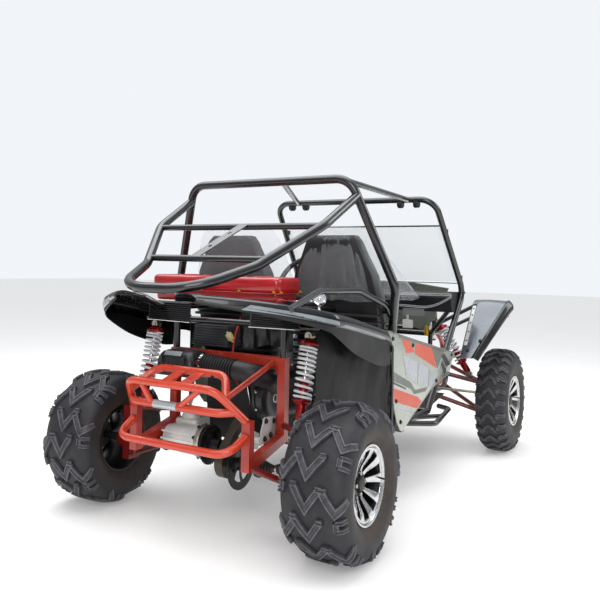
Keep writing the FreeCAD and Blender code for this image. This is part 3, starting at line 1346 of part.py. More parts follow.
# Steering
def make_steering():
    bar_radius = size("rack_radius")
    rack_z = size("rack_z")
    half = size("rack_housing_length") / 2
    y = size("king_pin_y")
    arm_under = size("steer_arm_z") - size("joint_gap")
    ends = []
    for side in (left, right):
        tip = Vector(rack_x, side * y, rack_z)
        ends.append(rod(tip - Vector(0, 0, size("tie_end_radius")),
                        Vector(tip.x, tip.y, arm_under), size("tie_end_radius")))
    bar = rod(Vector(rack_x, -half - bar_radius * 4, rack_z),
              Vector(rack_x, half + bar_radius * 4, rack_z), bar_radius)
    rods = rod(Vector(rack_x, -y, rack_z), Vector(rack_x, y, rack_z), size("tie_rod_radius"))
    keep("steering_rack_bar", joined([bar, rods] + ends))
    housing = rod(Vector(rack_x, -half, rack_z), Vector(rack_x, half, rack_z),
                  size("rack_housing_radius"))
    bore = rod(Vector(rack_x, -y, rack_z), Vector(rack_x, y, rack_z),
               bar_radius + size("running_gap"))
    top = column_path[0]
    way = (column_path[1] - top).normalize()
    start = top + way * size("column_top_reach")
    jacket = tube([start] + column_path[1:], 2 * size("column_radius"), size("tube_bend"))
    bracket = []
    for side in (left, right):
        foot = Vector(brace_low.x, side * half * bracket_share, brace_low.z)
        bracket.append(rod(foot, Vector(rack_x, foot.y, rack_z), bar_radius))
    depth = size("shaft_reach")
    socket = rod(start, top + way * depth, size("steering_shaft_radius") + size("running_gap"))
    column = less(joined([jacket, housing] + bracket), bore, socket)
    keep("steering_column", coped(column, "floor_frame"))
    shaft_end = top + way * (depth - size("joint_gap"))
    shaft = rod(top, shaft_end, size("steering_shaft_radius"))
    rim = doc.addObject("Part::Torus", "wheel_rim")
    rim.Placement = Placement(top, Rotation(Vector(0, 0, 1), way))
    tied(rim, Radius1=size("steering_wheel_radius"), Radius2=size("steering_rim_radius"))
    hub = rod(top - way * size("steering_rim_radius"), top + way * size("steering_rim_radius"),
              size("steering_hub_radius"))
    spokes = []
    level = Vector(0, 1, 0)
    down = level.cross(way).normalize()
    if down.z > 0:
        down = down * -1
    for heading in (level, level * -1, down):
        spokes.append(rod(top, top + heading * size("steering_wheel_radius"),
                          size("steering_rim_radius") / 2))
    keep("steering_wheel", joined([shaft, rim, hub] + spokes))


def make_half_shafts():
    reach = size("boot_length")
    for name, (start, way) in shaft_axes.items():
        end = shaft_end(name)
        pin_end = start - way * (size("socket_depth") - size("joint_gap"))
        pieces = [rod(pin_end, end, size("shaft_radius"))]
        first = start + way * size("shaft_gap")
        for point, heading in ((first, way), (end, way * -1)):
            pieces.append(cone(size("boot_radius"), size("shaft_radius"), reach, point, heading))
        keep("half_shaft_" + name, joined(pieces))


def make_small_fittings():
    floor_top = size("rail_z") + size("rail_tube") / 2 + size("seat_gap") + size("floor_thickness")
    pedals = []
    for step in (0, 1):
        y = size("pedal_y") + step * size("pedal_gap")
        foot = Vector(front("pedal_fx"), y, floor_top + size("seat_gap"))
        top = Vector(foot.x, y, size("pedal_top_z"))
        tread = block(size("plate_thickness"), size("pedal_width"), size("pedal_height"),
                      top - Vector(0, size("pedal_width") / 2, size("pedal_height") / 2))
        pedals.append(joined([rod(foot, top, size("plate_thickness")), tread]))
    keep("pedals", side_by_side(pedals))
    # A bowl behind, a rim round the glass and the glass set back in it
    lamp = body("lamp")
    half = outline(lamp, "lamp_profile", "side", [
        ("0", "0"), ("lamp_depth - lamp_rim", "0"),
        ("lamp_depth - lamp_rim", "lamp_radius - lamp_rim"), ("lamp_depth", "lamp_radius - lamp_rim"),
        ("lamp_depth", "lamp_radius"), ("lamp_depth - 2 * lamp_rim", "lamp_radius"),
        ("lamp_rim", "lamp_radius / 2"), ("0", "lamp_radius / 2")])
    placed(lamp, ("front_axle + nose_rail_fx + cross_tube / 2 + seat_gap", "lamp_y", "lamp_z"))
    turned(lamp, half)
    keep("headlamps", coped(both_sides(lamp), "front_bumper", "nose_panel"))


for maker in (
        make_main_hoop, make_front_hoop, make_roof_bars, make_rear_cage, make_rear_bumper,
        make_engine_subframe, make_deck_frame, make_front_fenders, make_floor_frame,
        make_floor_pan, make_front_bumper, make_side_steps, make_side_panels,
        make_rear_fenders, make_dash, make_nose_panel, make_windscreen, make_seats,
        make_fuel_tank, make_engine, make_final_drive, make_chain_guard, make_brake_disc,
        make_air_box, make_front_arms, make_front_shocks, make_rear_arms, make_rear_shocks,
        make_wheels, make_knuckles, make_steering, make_half_shafts, make_small_fittings):
    maker()

doc.recompute()
os.makedirs("parts", exist_ok=True)
for label, piece in parts.items():
    if "Invalid" in piece.State or "Error" in piece.State:
        raise ValueError("failed: " + label)
    if piece.Shape.isNull() or not piece.Shape.isValid():
        raise ValueError("bad shape: " + label)
    piece.Shape.exportStep("parts/%s.step" % label)
print(len(parts), "parts written")
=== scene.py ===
import bpy
import bmesh
import math
from mathutils import Matrix, Vector, bvhtree, noise


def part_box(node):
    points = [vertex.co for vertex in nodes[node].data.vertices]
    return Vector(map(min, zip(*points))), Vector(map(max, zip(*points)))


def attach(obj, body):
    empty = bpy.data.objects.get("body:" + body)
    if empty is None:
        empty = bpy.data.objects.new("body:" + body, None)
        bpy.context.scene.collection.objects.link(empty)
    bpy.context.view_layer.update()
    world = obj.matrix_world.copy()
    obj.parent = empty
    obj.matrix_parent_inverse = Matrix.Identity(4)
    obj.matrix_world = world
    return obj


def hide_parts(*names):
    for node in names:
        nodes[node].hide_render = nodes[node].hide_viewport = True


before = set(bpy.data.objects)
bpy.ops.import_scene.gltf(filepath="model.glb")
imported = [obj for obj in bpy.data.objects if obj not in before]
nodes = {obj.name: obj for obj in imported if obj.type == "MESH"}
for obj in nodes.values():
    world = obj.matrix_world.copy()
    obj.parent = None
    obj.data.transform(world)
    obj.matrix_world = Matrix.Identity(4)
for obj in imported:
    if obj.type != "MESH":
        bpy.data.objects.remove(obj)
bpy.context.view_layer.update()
scene = bpy.context.scene

# The frame is in metres: +X forward, +Y left, +Z up, zero under the middle of the car
rearAxle, frontAxle = -0.9785, 1.0045
wheels = {
    "rear_left": {"centre": (rearAxle, 0.566, 0.277), "side": 1},
    "rear_right": {"centre": (rearAxle, -0.566, 0.277), "side": -1},
    "front_left": {"centre": (frontAxle, 0.643, 0.288), "side": 1},
    "front_right": {"centre": (frontAxle, -0.643, 0.288), "side": -1},
}
paint = {}

# Degrees between two faces above which an edge is shaded sharp, or bevelled, and the distance
# in metres under which two points are welded
sharpEdge, bevelEdge, weldGap = 35, 30, 1e-6


def toLinear(hexColour):
    values = [int(hexColour[i:i + 2], 16) / 255 for i in (1, 3, 5)]
    linear = [v / 12.92 if v <= 0.04045 else ((v + 0.055) / 1.055) ** 2.4 for v in values]
    return (*linear, 1.0)


def addNode(tree, kind, settings=None, links=None):
    node = tree.nodes.new(kind)
    for name, value in (settings or {}).items():
        if isinstance(name, str) and hasattr(node, name):
            setattr(node, name, value)
        else:
            node.inputs[name].default_value = value
    for name, source in (links or {}).items():
        tree.links.new(source, node.inputs[name])
    return node


def newMaterial(name, sockets):
    material = bpy.data.materials.new(name)
    material.use_nodes = True
    tree = material.node_tree
    shader = tree.nodes["Principled BSDF"]
    for socket, value in sockets.items():
        shader.inputs[socket].default_value = value
    paint[name] = material
    return tree, shader, addNode(tree, "ShaderNodeTexCoord").outputs["Object"]


# One painted, moulded or metal finish: two colours in soft patches, a roughness that wanders
# between two values, a fine grain in the surface and dust in its pores
def addFinish(name, colour, shade, smoothest, roughest, grainMm, bump, patchMm=120,
              bumpMm=0.2, dust=None, dustMost=0.5, metal=0.0, coat=0.0, coatRough=0.03,
              glow=0.0):
    tree, shader, place = newMaterial(name, {"Metallic": metal, "Coat Weight": coat,
                                             "Coat Roughness": coatRough,
                                             "Emission Strength": glow})
    patch, grain = [addNode(tree, "ShaderNodeTexNoise", {"Scale": 1000 / width, "Detail": detail},
                            {"Vector": place}).outputs["Fac"]
                    for width, detail in ((patchMm, 4.0), (grainMm, 3.0))]
    spread = addNode(tree, "ShaderNodeMapRange", {"From Min": 0.38, "From Max": 0.66},
                     {"Value": patch})
    mix = addNode(tree, "ShaderNodeMix", {"data_type": "RGBA"},
                  {"Factor": spread.outputs["Result"]})
    mix.inputs[6].default_value, mix.inputs[7].default_value = toLinear(colour), toLinear(shade)
    if dust:
        speck = addNode(tree, "ShaderNodeMapRange",
                        {"From Min": 0.55, "From Max": 0.8, "To Max": dustMost}, {"Value": grain})
        mix = addNode(tree, "ShaderNodeMix", {"data_type": "RGBA"},
                      {"Factor": speck.outputs["Result"], 6: mix.outputs[2]})
        mix.inputs[7].default_value = toLinear(dust)
    tree.links.new(mix.outputs[2], shader.inputs["Base Color"])
    rough = addNode(tree, "ShaderNodeMapRange",
                    {"From Min": 0.3, "From Max": 0.7, "To Min": smoothest,
                     "To Max": roughest}, {"Value": patch})
    tree.links.new(rough.outputs["Result"], shader.inputs["Roughness"])
    relief = addNode(tree, "ShaderNodeBump", {"Strength": bump, "Distance": bumpMm / 1000},
                     {"Height": grain})
    tree.links.new(relief.outputs["Normal"], shader.inputs["Normal"])


# One clear sheet or glass, with a soft fold in its surface
def clearFinish(name, colour, foldMm, twist, bump, bumpMm, sockets):
    tree, shader, place = newMaterial(name, {"Base Color": toLinear(colour), **sockets})
    fold = addNode(tree, "ShaderNodeTexNoise",
                   {"Scale": 1000 / foldMm, "Detail": 5.0, "Distortion": twist}, {"Vector": place})
    relief = addNode(tree, "ShaderNodeBump", {"Strength": bump, "Distance": bumpMm / 1000},
                     {"Height": fold.outputs["Fac"]})
    tree.links.new(relief.outputs["Normal"], shader.inputs["Normal"])


# Gloss black powder coat on steel tube: deep, slightly orange-peeled, sharp sky reflections
addFinish("glossBlackPowderCoat", "#0b0c0e", "#141518", 0.16, 0.3, 2.5, 0.12, dust="#4a4a48",
          dustMost=0.1, coat=0.6, coatRough=0.08)
# Orange powder coat: bright, thick and glossy, a little paler where it catches the sky
addFinish("orangePowderCoat", "#c23518", "#cb3f20", 0.22, 0.36, 2.5, 0.14, dust="#d88a6c",
          dustMost=0.12, coat=0.5, coatRough=0.12)
# Red powder coat of the engine frame, duller from handling
addFinish("redPowderCoat", "#b23019", "#9a2414", 0.26, 0.45, 2.5, 0.15, dust="#5c3a30",
          dustMost=0.25, coat=0.4, coatRough=0.2)
# Dark red painted suspension tube
addFinish("darkRedPaint", "#7c1714", "#5d110f", 0.25, 0.4, 2.5, 0.12, coat=0.4)
# Black ABS, moulded with a fine grain, half matt
addFinish("grainedBlackAbs", "#131316", "#1b1b1e", 0.38, 0.55, 1.5, 0.25, dust="#4d4b47",
          dustMost=0.15)
# Gloss black ABS of the fenders
addFinish("glossBlackAbs", "#0b0b0e", "#121216", 0.12, 0.26, 6, 0.05, coat=0.4)
# Grey metallic painted ABS of the fender faces
addFinish("greyPaintedAbs", "#5b6067", "#666c74", 0.2, 0.32, 1.5, 0.05, metal=0.35, coat=0.5)
# Silver painted ABS of the side panels, greenish grey under the sky
addFinish("silverPaintedAbs", "#9a9f95", "#a5a99f", 0.22, 0.34, 1.5, 0.05, metal=0.3, coat=0.5)
addFinish("orangeFilm", "#cb4719", "#c03e14", 0.24, 0.34, 2, 0.04)
addFinish("darkGreyFilm", "#262425", "#1f1d1e", 0.24, 0.34, 2, 0.04)
# Red enamel on the pressed steel tank: deep and wet
addFinish("redTankEnamel", "#c21f25", "#ad181e", 0.12, 0.22, 4, 0.06, coat=0.7, coatRough=0.05)
# Tyre rubber: near black with grey bloom and a painted highlight on the lugs' raised rails laid
# over it, and dust in the pores
addFinish("tyreRubber", "#131215", "#1c1b1f", 0.5, 0.72, 2, 0.3, patchMm=60, bumpMm=0.3,
          dust="#4b4743", dustMost=0.22)
# Hose and grip rubber, smoother
addFinish("blackRubber", "#141416", "#1d1d20", 0.42, 0.6, 1.2, 0.2)
# Turned and clear-lacquered aluminium of the wheel faces
addFinish("machinedAluminium", "#c9c9ca", "#b7b8ba", 0.16, 0.3, 0.8, 0.12, patchMm=25, metal=1)
addFinish("blackWheelPaint", "#0c0c0d", "#131314", 0.25, 0.4, 2, 0.08)
# Sand-cast aluminium of the drive housing, bright and pitted
addFinish("castAluminium", "#dcdcd9", "#c6c6c2", 0.35, 0.55, 1.5, 0.45, bumpMm=0.3, dust="#6c655c",
          dustMost=0.2, metal=0.25)
addFinish("darkCastIron", "#232325", "#303033", 0.45, 0.65, 1.5, 0.5, bumpMm=0.3, metal=0.4)
# Zinc-plated steel with a faint yellow cast
addFinish("zincPlatedSteel", "#b5b19f", "#9d9a90", 0.25, 0.45, 1, 0.15, patchMm=20, metal=1)
addFinish("brightChrome", "#d9dadc", "#cfd0d3", 0.05, 0.12, 5, 0.02, metal=1)
addFinish("whiteSpringEnamel", "#d9d9da", "#c6c6c9", 0.2, 0.35, 2, 0.1, coat=0.4)
addFinish("redAnodised", "#a51a1c", "#8a1315", 0.2, 0.34, 1.5, 0.08, metal=0.6)
addFinish("yellowAnodised", "#c9a018", "#b48c12", 0.25, 0.4, 1.5, 0.08, metal=0.5)
# Seat vinyl: black, embossed, soft sheen
addFinish("blackSeatVinyl", "#17171a", "#212125", 0.36, 0.52, 1.4, 0.4, bumpMm=0.25)
addFinish("redSeatVinyl", "#5e1418", "#4b1014", 0.36, 0.52, 1.4, 0.4, bumpMm=0.25)
addFinish("greyPiping", "#9b9da0", "#8d8f92", 0.4, 0.55, 1, 0.2)
addFinish("blankLabel", "#b9c0c2", "#a8b0b3", 0.25, 0.4, 1.5, 0.05, metal=0.5)
# Cast vinyl film in the panel's green-grey and a pale grey, both satin
addFinish("greenGreyFilm", "#5d6257", "#555a50", 0.24, 0.34, 2, 0.04)
addFinish("paleFilm", "#a9abb0", "#9da0a5", 0.22, 0.34, 2, 0.04)
# Thin black polypropylene of the splash sheets: half glossy, scuffed
addFinish("blackSplashSheet", "#08080a", "#100f12", 0.24, 0.44, 3, 0.12, patchMm=70, dust="#54504b",
          dustMost=0.12)
# The fenders' skirts are moulded without polish, and their black is a touch darker than the shell's
# as painted shade under the lip
addFinish("dullShadedBlackSkirt", "#08080a", "#0d0d0f", 0.5, 0.68, 1.5, 0.2)
# Brushed grey foil strips along the fenders' lip
addFinish("greyFoilStrip", "#858e91", "#9aa3a6", 0.25, 0.4, 1.5, 0.08, metal=0.5)
# White-primed steel of small brackets
addFinish("whitePrimedSteel", "#c9c9c6", "#b3b2ae", 0.4, 0.6, 2, 0.2)
# Moulded polypropylene of the air box: black with a grey sheen on its upper faces
addFinish("blackAirBoxPlastic", "#141518", "#1f2124", 0.3, 0.45, 1.5, 0.15, patchMm=50,
          dust="#5a5a56", dustMost=0.15)
# Olive-brown painted pressed steel, chipped and oily
addFinish("olivePaintedSteel", "#2e2b1e", "#3d2c1f", 0.3, 0.5, 1.5, 0.25, patchMm=30,
          dust="#6a5844", dustMost=0.3)
# Blackened steel of discs and sprockets with bare rubbed edges
addFinish("blackenedSteel", "#1b1b1d", "#2f2e2e", 0.3, 0.5, 1, 0.2, patchMm=20, metal=0.7)
# Thin red silicone hose, satin
addFinish("redSilicone", "#b32417", "#9d1d12", 0.35, 0.5, 2, 0.08)
addFinish("paleYellowNylon", "#c9c58e", "#b9b47c", 0.35, 0.5, 2, 0.1)
# Ribbed aluminium of the cooling shroud, dark and dull
addFinish("darkRibbedAluminium", "#54565a", "#3f4145", 0.35, 0.5, 1.5, 0.3, metal=0.6)

# Clear acrylic of the screen, faintly hazed, and the thin polythene film still on the seats
clearFinish("clearAcrylic", "#eef3f4", 400, 0.0, 0.02, 0.5,
            {"Roughness": 0.04, "IOR": 1.49, "Alpha": 0.16, "Transmission Weight": 0.0})
clearFinish("polytheneFilm", "#dfe4e8", 60, 1.6, 0.9, 9,
            {"Roughness": 0.10, "IOR": 1.5, "Alpha": 0.13, "Specular IOR Level": 1.0})
# Moulded lens glass of the lamps
clearFinish("lampGlass", "#f2f5f6", 12, 0.0, 0.3, 1, {"Roughness": 0.05, "IOR": 1.5, "Alpha": 0.35})
print("finishes:", len(paint))

nodeFinish = {
    "glossBlackPowderCoat": ["main_hoop", "front_hoop", "roof_bars", "rear_cage", "deck_frame",
                             "floor_frame", "side_steps", "seat_rails", "steering_column"],
    "orangePowderCoat": ["front_bumper", "rear_bumper"],
    "redPowderCoat": ["engine_subframe"],
    "darkRedPaint": ["front_arms", "rear_arms"],
    "grainedBlackAbs": ["floor_pan", "dash", "engine_cover", "air_box"],
    "silverPaintedAbs": ["side_panels", "nose_panel"],
    "glossBlackAbs": ["rear_fenders"],
    "greyPaintedAbs": ["front_fenders"],
    "clearAcrylic": ["windscreen"],
    "blackSeatVinyl": ["seat_left", "seat_right"],
    "redTankEnamel": ["fuel_tank"],
    "darkCastIron": ["engine_block", "half_shaft_left", "half_shaft_right", "knuckle_left",
                     "knuckle_right"],
    "castAluminium": ["final_drive"],
    "olivePaintedSteel": ["chain_guard"],
    "zincPlatedSteel": ["brake_disc", "steering_rack_bar", "pedals"],
    "blackRubber": ["intake_hose", "steering_wheel"],
    "whiteSpringEnamel": ["front_shocks", "rear_shocks"],
    "brightChrome": ["headlamps"],
    "tyreRubber": ["tyre_" + label for label in wheels],
    "machinedAluminium": ["rim_" + label for label in wheels],
}
for name, dressedNodes in nodeFinish.items():
    for node in dressedNodes:
        nodes[node].data.materials.clear()
        nodes[node].data.materials.append(paint[name])


def placePiece(name, mesh, finishName, body="chassis", smooth=True):
    mesh.name = name
    mesh.materials.clear()
    mesh.materials.append(paint[finishName])
    if smooth:
        mesh.shade_smooth()
        markEdges(mesh, sharpEdge)
    piece = bpy.data.objects.new(name, mesh)
    scene.collection.objects.link(piece)
    if body is not None:
        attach(piece, body)
    return piece


def markEdges(mesh, degrees):
    work = bmesh.new()
    work.from_mesh(mesh)
    for edge in work.edges:
        if len(edge.link_faces) == 2 and edge.calc_face_angle(0) > math.radians(degrees):
            edge.smooth = False
    work.to_mesh(mesh)
    work.free()


def evaluated(holder):
    # The mesh of an object with its modifiers applied
    graph = bpy.context.evaluated_depsgraph_get()
    return bpy.data.meshes.new_from_object(holder.evaluated_get(graph))


def turns(steps):
    # Even angles round a full circle
    return [2 * math.pi * j / steps for j in range(steps)]


class Shape:
    # Gathers vertices and faces of a piece, in metres
    def __init__(self):
        self.vertices = []
        self.faces = []

    def put(self, vertices, faces):
        start = len(self.vertices)
        self.vertices += [Vector(v) for v in vertices]
        self.faces += [[start + i for i in face] for face in faces]
        return self

    def rings(self, rings, closeEnds=True, closeLoop=False):
        count = len(rings[0])
        vertices = [v for ring in rings for v in ring]
        faces = []
        for i in range(len(rings) if closeLoop else len(rings) - 1):
            a, b = i * count, ((i + 1) % len(rings)) * count
            for j in range(count):
                k = (j + 1) % count
                faces.append([a + j, a + k, b + k, b + j])
        if closeEnds and not closeLoop:
            last = (len(rings) - 1) * count
            faces.append(list(reversed(range(count))))
            faces.append([last + j for j in range(count)])
        return self.put(vertices, faces)

    def tube(self, points, radius, sides=12):
        points = [Vector(p) for p in points]
        rings, normal = [], None
        for i, point in enumerate(points):
            before, after = points[max(i - 1, 0)], points[min(i + 1, len(points) - 1)]
            heading = (after - before).normalized()
            if normal is None:
                normal = heading.orthogonal().normalized()
            normal = (normal - heading * normal.dot(heading)).normalized()
            other = heading.cross(normal)
            rings.append([point + normal * radius * math.cos(t) + other * radius * math.sin(t)
                          for t in turns(sides)])
        return self.rings(rings)

    def lathe(self, profile, centre, axis, sides=32):
        # A closed body turned about any axis; the profile holds (along, radius)
        centre, axis = Vector(centre), Vector(axis).normalized()
        first = axis.orthogonal().normalized()
        second = axis.cross(first)
        return self.rings([[centre + axis * along + first * r * math.cos(t)
                            + second * r * math.sin(t)
                            for t in turns(sides)] for along, r in profile])

    def hoop(self, profile, centre=(0, 0, 0), side=1, steps=72):
        # An open ring about the Y axis; the profile holds (y, radius) and closes on itself
        x, y0, z = centre
        return self.rings([[Vector((x + r * math.cos(t), y0 + y * side, z + r * math.sin(t)))
                            for t in turns(steps)] for y, r in profile], closeLoop=True)

    def block(self, low, high):
        (x0, y0, z0), (x1, y1, z1) = low, high
        vertices = [(x0, y0, z0), (x1, y0, z0), (x1, y1, z0), (x0, y1, z0), (x0, y0, z1),
                    (x1, y0, z1), (x1, y1, z1), (x0, y1, z1)]
        return self.put(vertices, [[3, 2, 1, 0], [4, 5, 6, 7], [0, 1, 5, 4], [1, 2, 6, 5],
                                   [2, 3, 7, 6], [3, 0, 4, 7]])

    def prism(self, outline, way):
        count = len(outline)
        vertices = [Vector(p) for p in outline] + [Vector(p) + Vector(way) for p in outline]
        faces = [list(reversed(range(count))), [count + i for i in range(count)]]
        for i in range(count):
            j = (i + 1) % count
            faces.append([i, j, count + j, count + i])
        return self.put(vertices, faces)

    def move(self, matrix):
        self.vertices = [matrix @ v for v in self.vertices]
        return self

    def mirrored(self):
        count = len(self.vertices)
        self.vertices += [Vector((v.x, -v.y, v.z)) for v in self.vertices]
        self.faces += [[count + i for i in reversed(face)] for face in self.faces]
        return self

    def mesh(self, name, bevelMm=0, segments=2):
        mesh = bpy.data.meshes.new(name)
        mesh.from_pydata([tuple(v) for v in self.vertices], [], self.faces)
        work = bmesh.new()
        work.from_mesh(mesh)
        bmesh.ops.remove_doubles(work, verts=work.verts, dist=weldGap)
        bmesh.ops.recalc_face_normals(work, faces=work.faces)
        if bevelMm:
            sharp = [e for e in work.edges if len(e.link_faces) == 2
                     and e.calc_face_angle(0) > math.radians(bevelEdge)]
            bmesh.ops.bevel(work, geom=sharp, offset=bevelMm / 1000, segments=segments,
                            affect="EDGES", profile=0.5, clamp_overlap=True)
        work.to_mesh(mesh)
        work.free()
        return mesh

    def piece(self, name, finishName, body="chassis", bevelMm=0, smooth=True):
        return placePiece(name, self.mesh(name, bevelMm), finishName, body, smooth)


def smoothLine(points, steps=5):
    # A Catmull-Rom line through the points
    result = []
    count = len(points)
    for i in range(count - 1):
        a, b = points[max(i - 1, 0)], points[i]
        c, d = points[i + 1], points[min(i + 2, count - 1)]
        for j in range(steps):
            t = j / steps
            result.append(tuple(
                0.5 * (2 * q + (r - p) * t + (2 * p - 5 * q + 4 * r - s) * t * t
                       + (3 * q - p - 3 * r + s) * t ** 3) for p, q, r, s in zip(a, b, c, d)))
    return result + [tuple(points[-1])]


def curvePoints(corners, bend, steps=6):
    # A bent line: straight runs between the corners, each corner rounded over the bend
    corners = [Vector(c) for c in corners]
    points = [corners[0]]
    for before, corner, after in zip(corners, corners[1:], corners[2:]):
        into, out = (before - corner), (after - corner)
        reach = min(bend, into.length * 0.48, out.length * 0.48)
        first, last = corner + into.normalized() * reach, corner + out.normalized() * reach
        for i in range(steps + 1):
            t = i / steps
            points.append(first * (1 - t) ** 2 + corner * 2 * t * (1 - t) + last * t ** 2)
    return points + [corners[-1]]


def skin(shape, grid, thick):
    # A closed sheet of even thickness through a grid of points
    rows, columns = len(grid), len(grid[0])
    outer, inner = [], []
    for i in range(rows):
        for j in range(columns):
            down = grid[min(i + 1, rows - 1)][j] - grid[max(i - 1, 0)][j]
            along = grid[i][min(j + 1, columns - 1)] - grid[i][max(j - 1, 0)]
            normal = down.cross(along)
            normal = normal.normalized() if normal.length > 1e-9 else Vector((0, 0, 1))
            outer.append(grid[i][j])
            inner.append(grid[i][j] + normal * thick)
    count, faces = rows * columns, []
    for i in range(rows - 1):
        for j in range(columns - 1):
            a, b = i * columns + j, (i + 1) * columns + j
            faces.append([a, a + 1, b + 1, b])
            faces.append([count + b, count + b + 1, count + a + 1, count + a])
    rim = list(range(columns)) + [i * columns + columns - 1 for i in range(1, rows)] \
        + [(rows - 1) * columns + j for j in range(columns - 2, -1, -1)] \
        + [i * columns for i in range(rows - 2, 0, -1)]
    for a, b in zip(rim, rim[1:] + rim[:1]):
        faces.append([a, count + a, count + b, b])
    return shape.put(outer + inner, faces)


# Geometry Nodes that repeat a small mesh: in a ring round the Y axis, or at marked spots that
# each carry the direction the copy stands in
def openTree(name, extra):
    tree = bpy.data.node_groups.new(name, "GeometryNodeTree")
    for label, way, kind in (("Geometry", "INPUT", "Geometry"), extra,
                             ("Finish", "INPUT", "Material"), ("Geometry", "OUTPUT", "Geometry")):
        tree.interface.new_socket(label, in_out=way, socket_type="NodeSocket" + kind)
    return tree, addNode(tree, "NodeGroupInput")


def closeTree(tree, start, points, instance, rotation):
    copies = addNode(tree, "GeometryNodeInstanceOnPoints", None,
                     {"Points": points, "Instance": instance, "Rotation": rotation})
    real = addNode(tree, "GeometryNodeRealizeInstances", None, {"Geometry": copies.outputs[0]})
    dressed = addNode(tree, "GeometryNodeSetMaterial", None,
                      {"Geometry": real.outputs[0], "Material": start.outputs["Finish"]})
    addNode(tree, "NodeGroupOutput", None, {"Geometry": dressed.outputs[0]})
    return tree


def ringTree():
    tree, start = openTree("ringOfCopies", ("Count", "INPUT", "Int"))
    spots = addNode(tree, "GeometryNodeMeshLine", {"Offset": (0, 0, 0)},
                    {"Count": start.outputs["Count"]})
    share = addNode(tree, "ShaderNodeMath", {"operation": "DIVIDE"},
                    {0: addNode(tree, "GeometryNodeInputIndex").outputs[0],
                     1: start.outputs["Count"]})
    turn = addNode(tree, "ShaderNodeMath", {"operation": "MULTIPLY", 1: 2 * math.pi},
                   {0: share.outputs[0]})
    angle = addNode(tree, "ShaderNodeCombineXYZ", None, {"Y": turn.outputs[0]})
    return closeTree(tree, start, spots.outputs["Mesh"], start.outputs["Geometry"],
                     angle.outputs[0])


def spotTree():
    tree, start = openTree("copiesAtSpots", ("Shape", "INPUT", "Object"))
    shape = addNode(tree, "GeometryNodeObjectInfo", None, {"Object": start.outputs["Shape"]})
    aim = addNode(tree, "GeometryNodeInputNamedAttribute",
                  {"data_type": "FLOAT_VECTOR", "Name": "aim"})
    turn = addNode(tree, "FunctionNodeAlignRotationToVector", {"axis": "Z"},
                   {"Vector": aim.outputs["Attribute"]})
    return closeTree(tree, start, start.outputs["Geometry"], shape.outputs["Geometry"],
                     turn.outputs["Rotation"])


ringOfCopies, copiesAtSpots = ringTree(), spotTree()


def grown(name, mesh, tree, inputs):
    # The mesh that the node tree makes of this mesh
    holder = bpy.data.objects.new(name + "Holder", mesh)
    scene.collection.objects.link(holder)
    modifier = holder.modifiers.new("copies", "NODES")
    modifier.node_group = tree
    for item in tree.interface.items_tree:
        if item.in_out == "INPUT" and item.name in inputs:
            modifier[item.identifier] = inputs[item.name]
    result = evaluated(holder)
    holder.modifiers.remove(modifier)
    bpy.data.objects.remove(holder)
    return result


def ringMesh(name, mesh, count, finishName):
    return grown(name, mesh, ringOfCopies, {"Count": count, "Finish": paint[finishName]})


def scatter(name, shape, spots, finishName, body="chassis"):
    # spots holds (point, aim) pairs; shape is a Shape standing on the origin along +Z
    sample = bpy.data.objects.new(name + "Sample", shape.mesh(name + "Sample"))
    scene.collection.objects.link(sample)
    points = bpy.data.meshes.new(name + "Spots")
    points.from_pydata([tuple(point) for point, aim in spots], [], [])
    aims = points.attributes.new("aim", "FLOAT_VECTOR", "POINT")
    aims.data.foreach_set("vector", [v for point, aim in spots for v in Vector(aim).normalized()])
    mesh = grown(name, points, copiesAtSpots, {"Shape": sample, "Finish": paint[finishName]})
    bpy.data.objects.remove(sample)
    return placePiece(name, mesh, finishName, body)


def boltShape(radius, height, washer=1.5):
    # A hexagon head with a chamfer on a thin washer
    head = Shape().lathe([(0, 0.0002), (0, radius), (height * 0.78, radius),
                          (height, radius * 0.82), (height, 0.0002)], (0, 0, 0.0012), (0, 0, 1), 6)
    return head.lathe([(0, 0.0002), (0, radius * washer), (0.0012, radius * washer),
                       (0.0014, radius * 1.2), (0.0014, 0.0002)], (0, 0, 0), (0, 0, 1), 20)


def layMarks(mesh, name, values):
    mark = mesh.attributes.new(name, "FLOAT", "POINT")
    mark.data.foreach_set("value", values)


def addLayer(material, mark, colour, most, roughness):
    # A second look laid over the finish where the mesh carries the mark, broken up by fine noise
    tree = material.node_tree
    shader = tree.nodes["Principled BSDF"]
    where = addNode(tree, "ShaderNodeAttribute", {"attribute_name": mark})
    place = addNode(tree, "ShaderNodeTexCoord").outputs["Object"]
    flecks = addNode(tree, "ShaderNodeTexNoise", {"Scale": 45.0, "Detail": 6.0}, {"Vector": place})
    spread = addNode(tree, "ShaderNodeMapRange", {"From Min": 0.3, "From Max": 0.65, "To Min": 0.25,
                                                  "To Max": most}, {"Value": flecks.outputs["Fac"]})
    amount = addNode(tree, "ShaderNodeMath", {"operation": "MULTIPLY"},
                     {0: where.outputs["Fac"], 1: spread.outputs["Result"]})
    for socket, value in (("Base Color", toLinear(colour)), ("Roughness", roughness)):
        before = shader.inputs[socket].links[0].from_socket
        rgb = socket == "Base Color"
        mix = addNode(tree, "ShaderNodeMix", {"data_type": "RGBA" if rgb else "FLOAT"},
                      {"Factor": amount.outputs[0]})
        first, second, out = (6, 7, 2) if rgb else (2, 3, 0)
        tree.links.new(before, mix.inputs[first])
        mix.inputs[second].default_value = value
        tree.links.new(mix.outputs[out], shader.inputs[socket])


# Grey bloom together with a painted highlight along the raised rails of the lugs, brown earth dust
# towards the rim
addLayer(paint["tyreRubber"], "bloomAndPaintedHighlight", "#77757d", 0.62, 0.5)
addLayer(paint["tyreRubber"], "earth", "#4b4034", 0.8, 0.8)

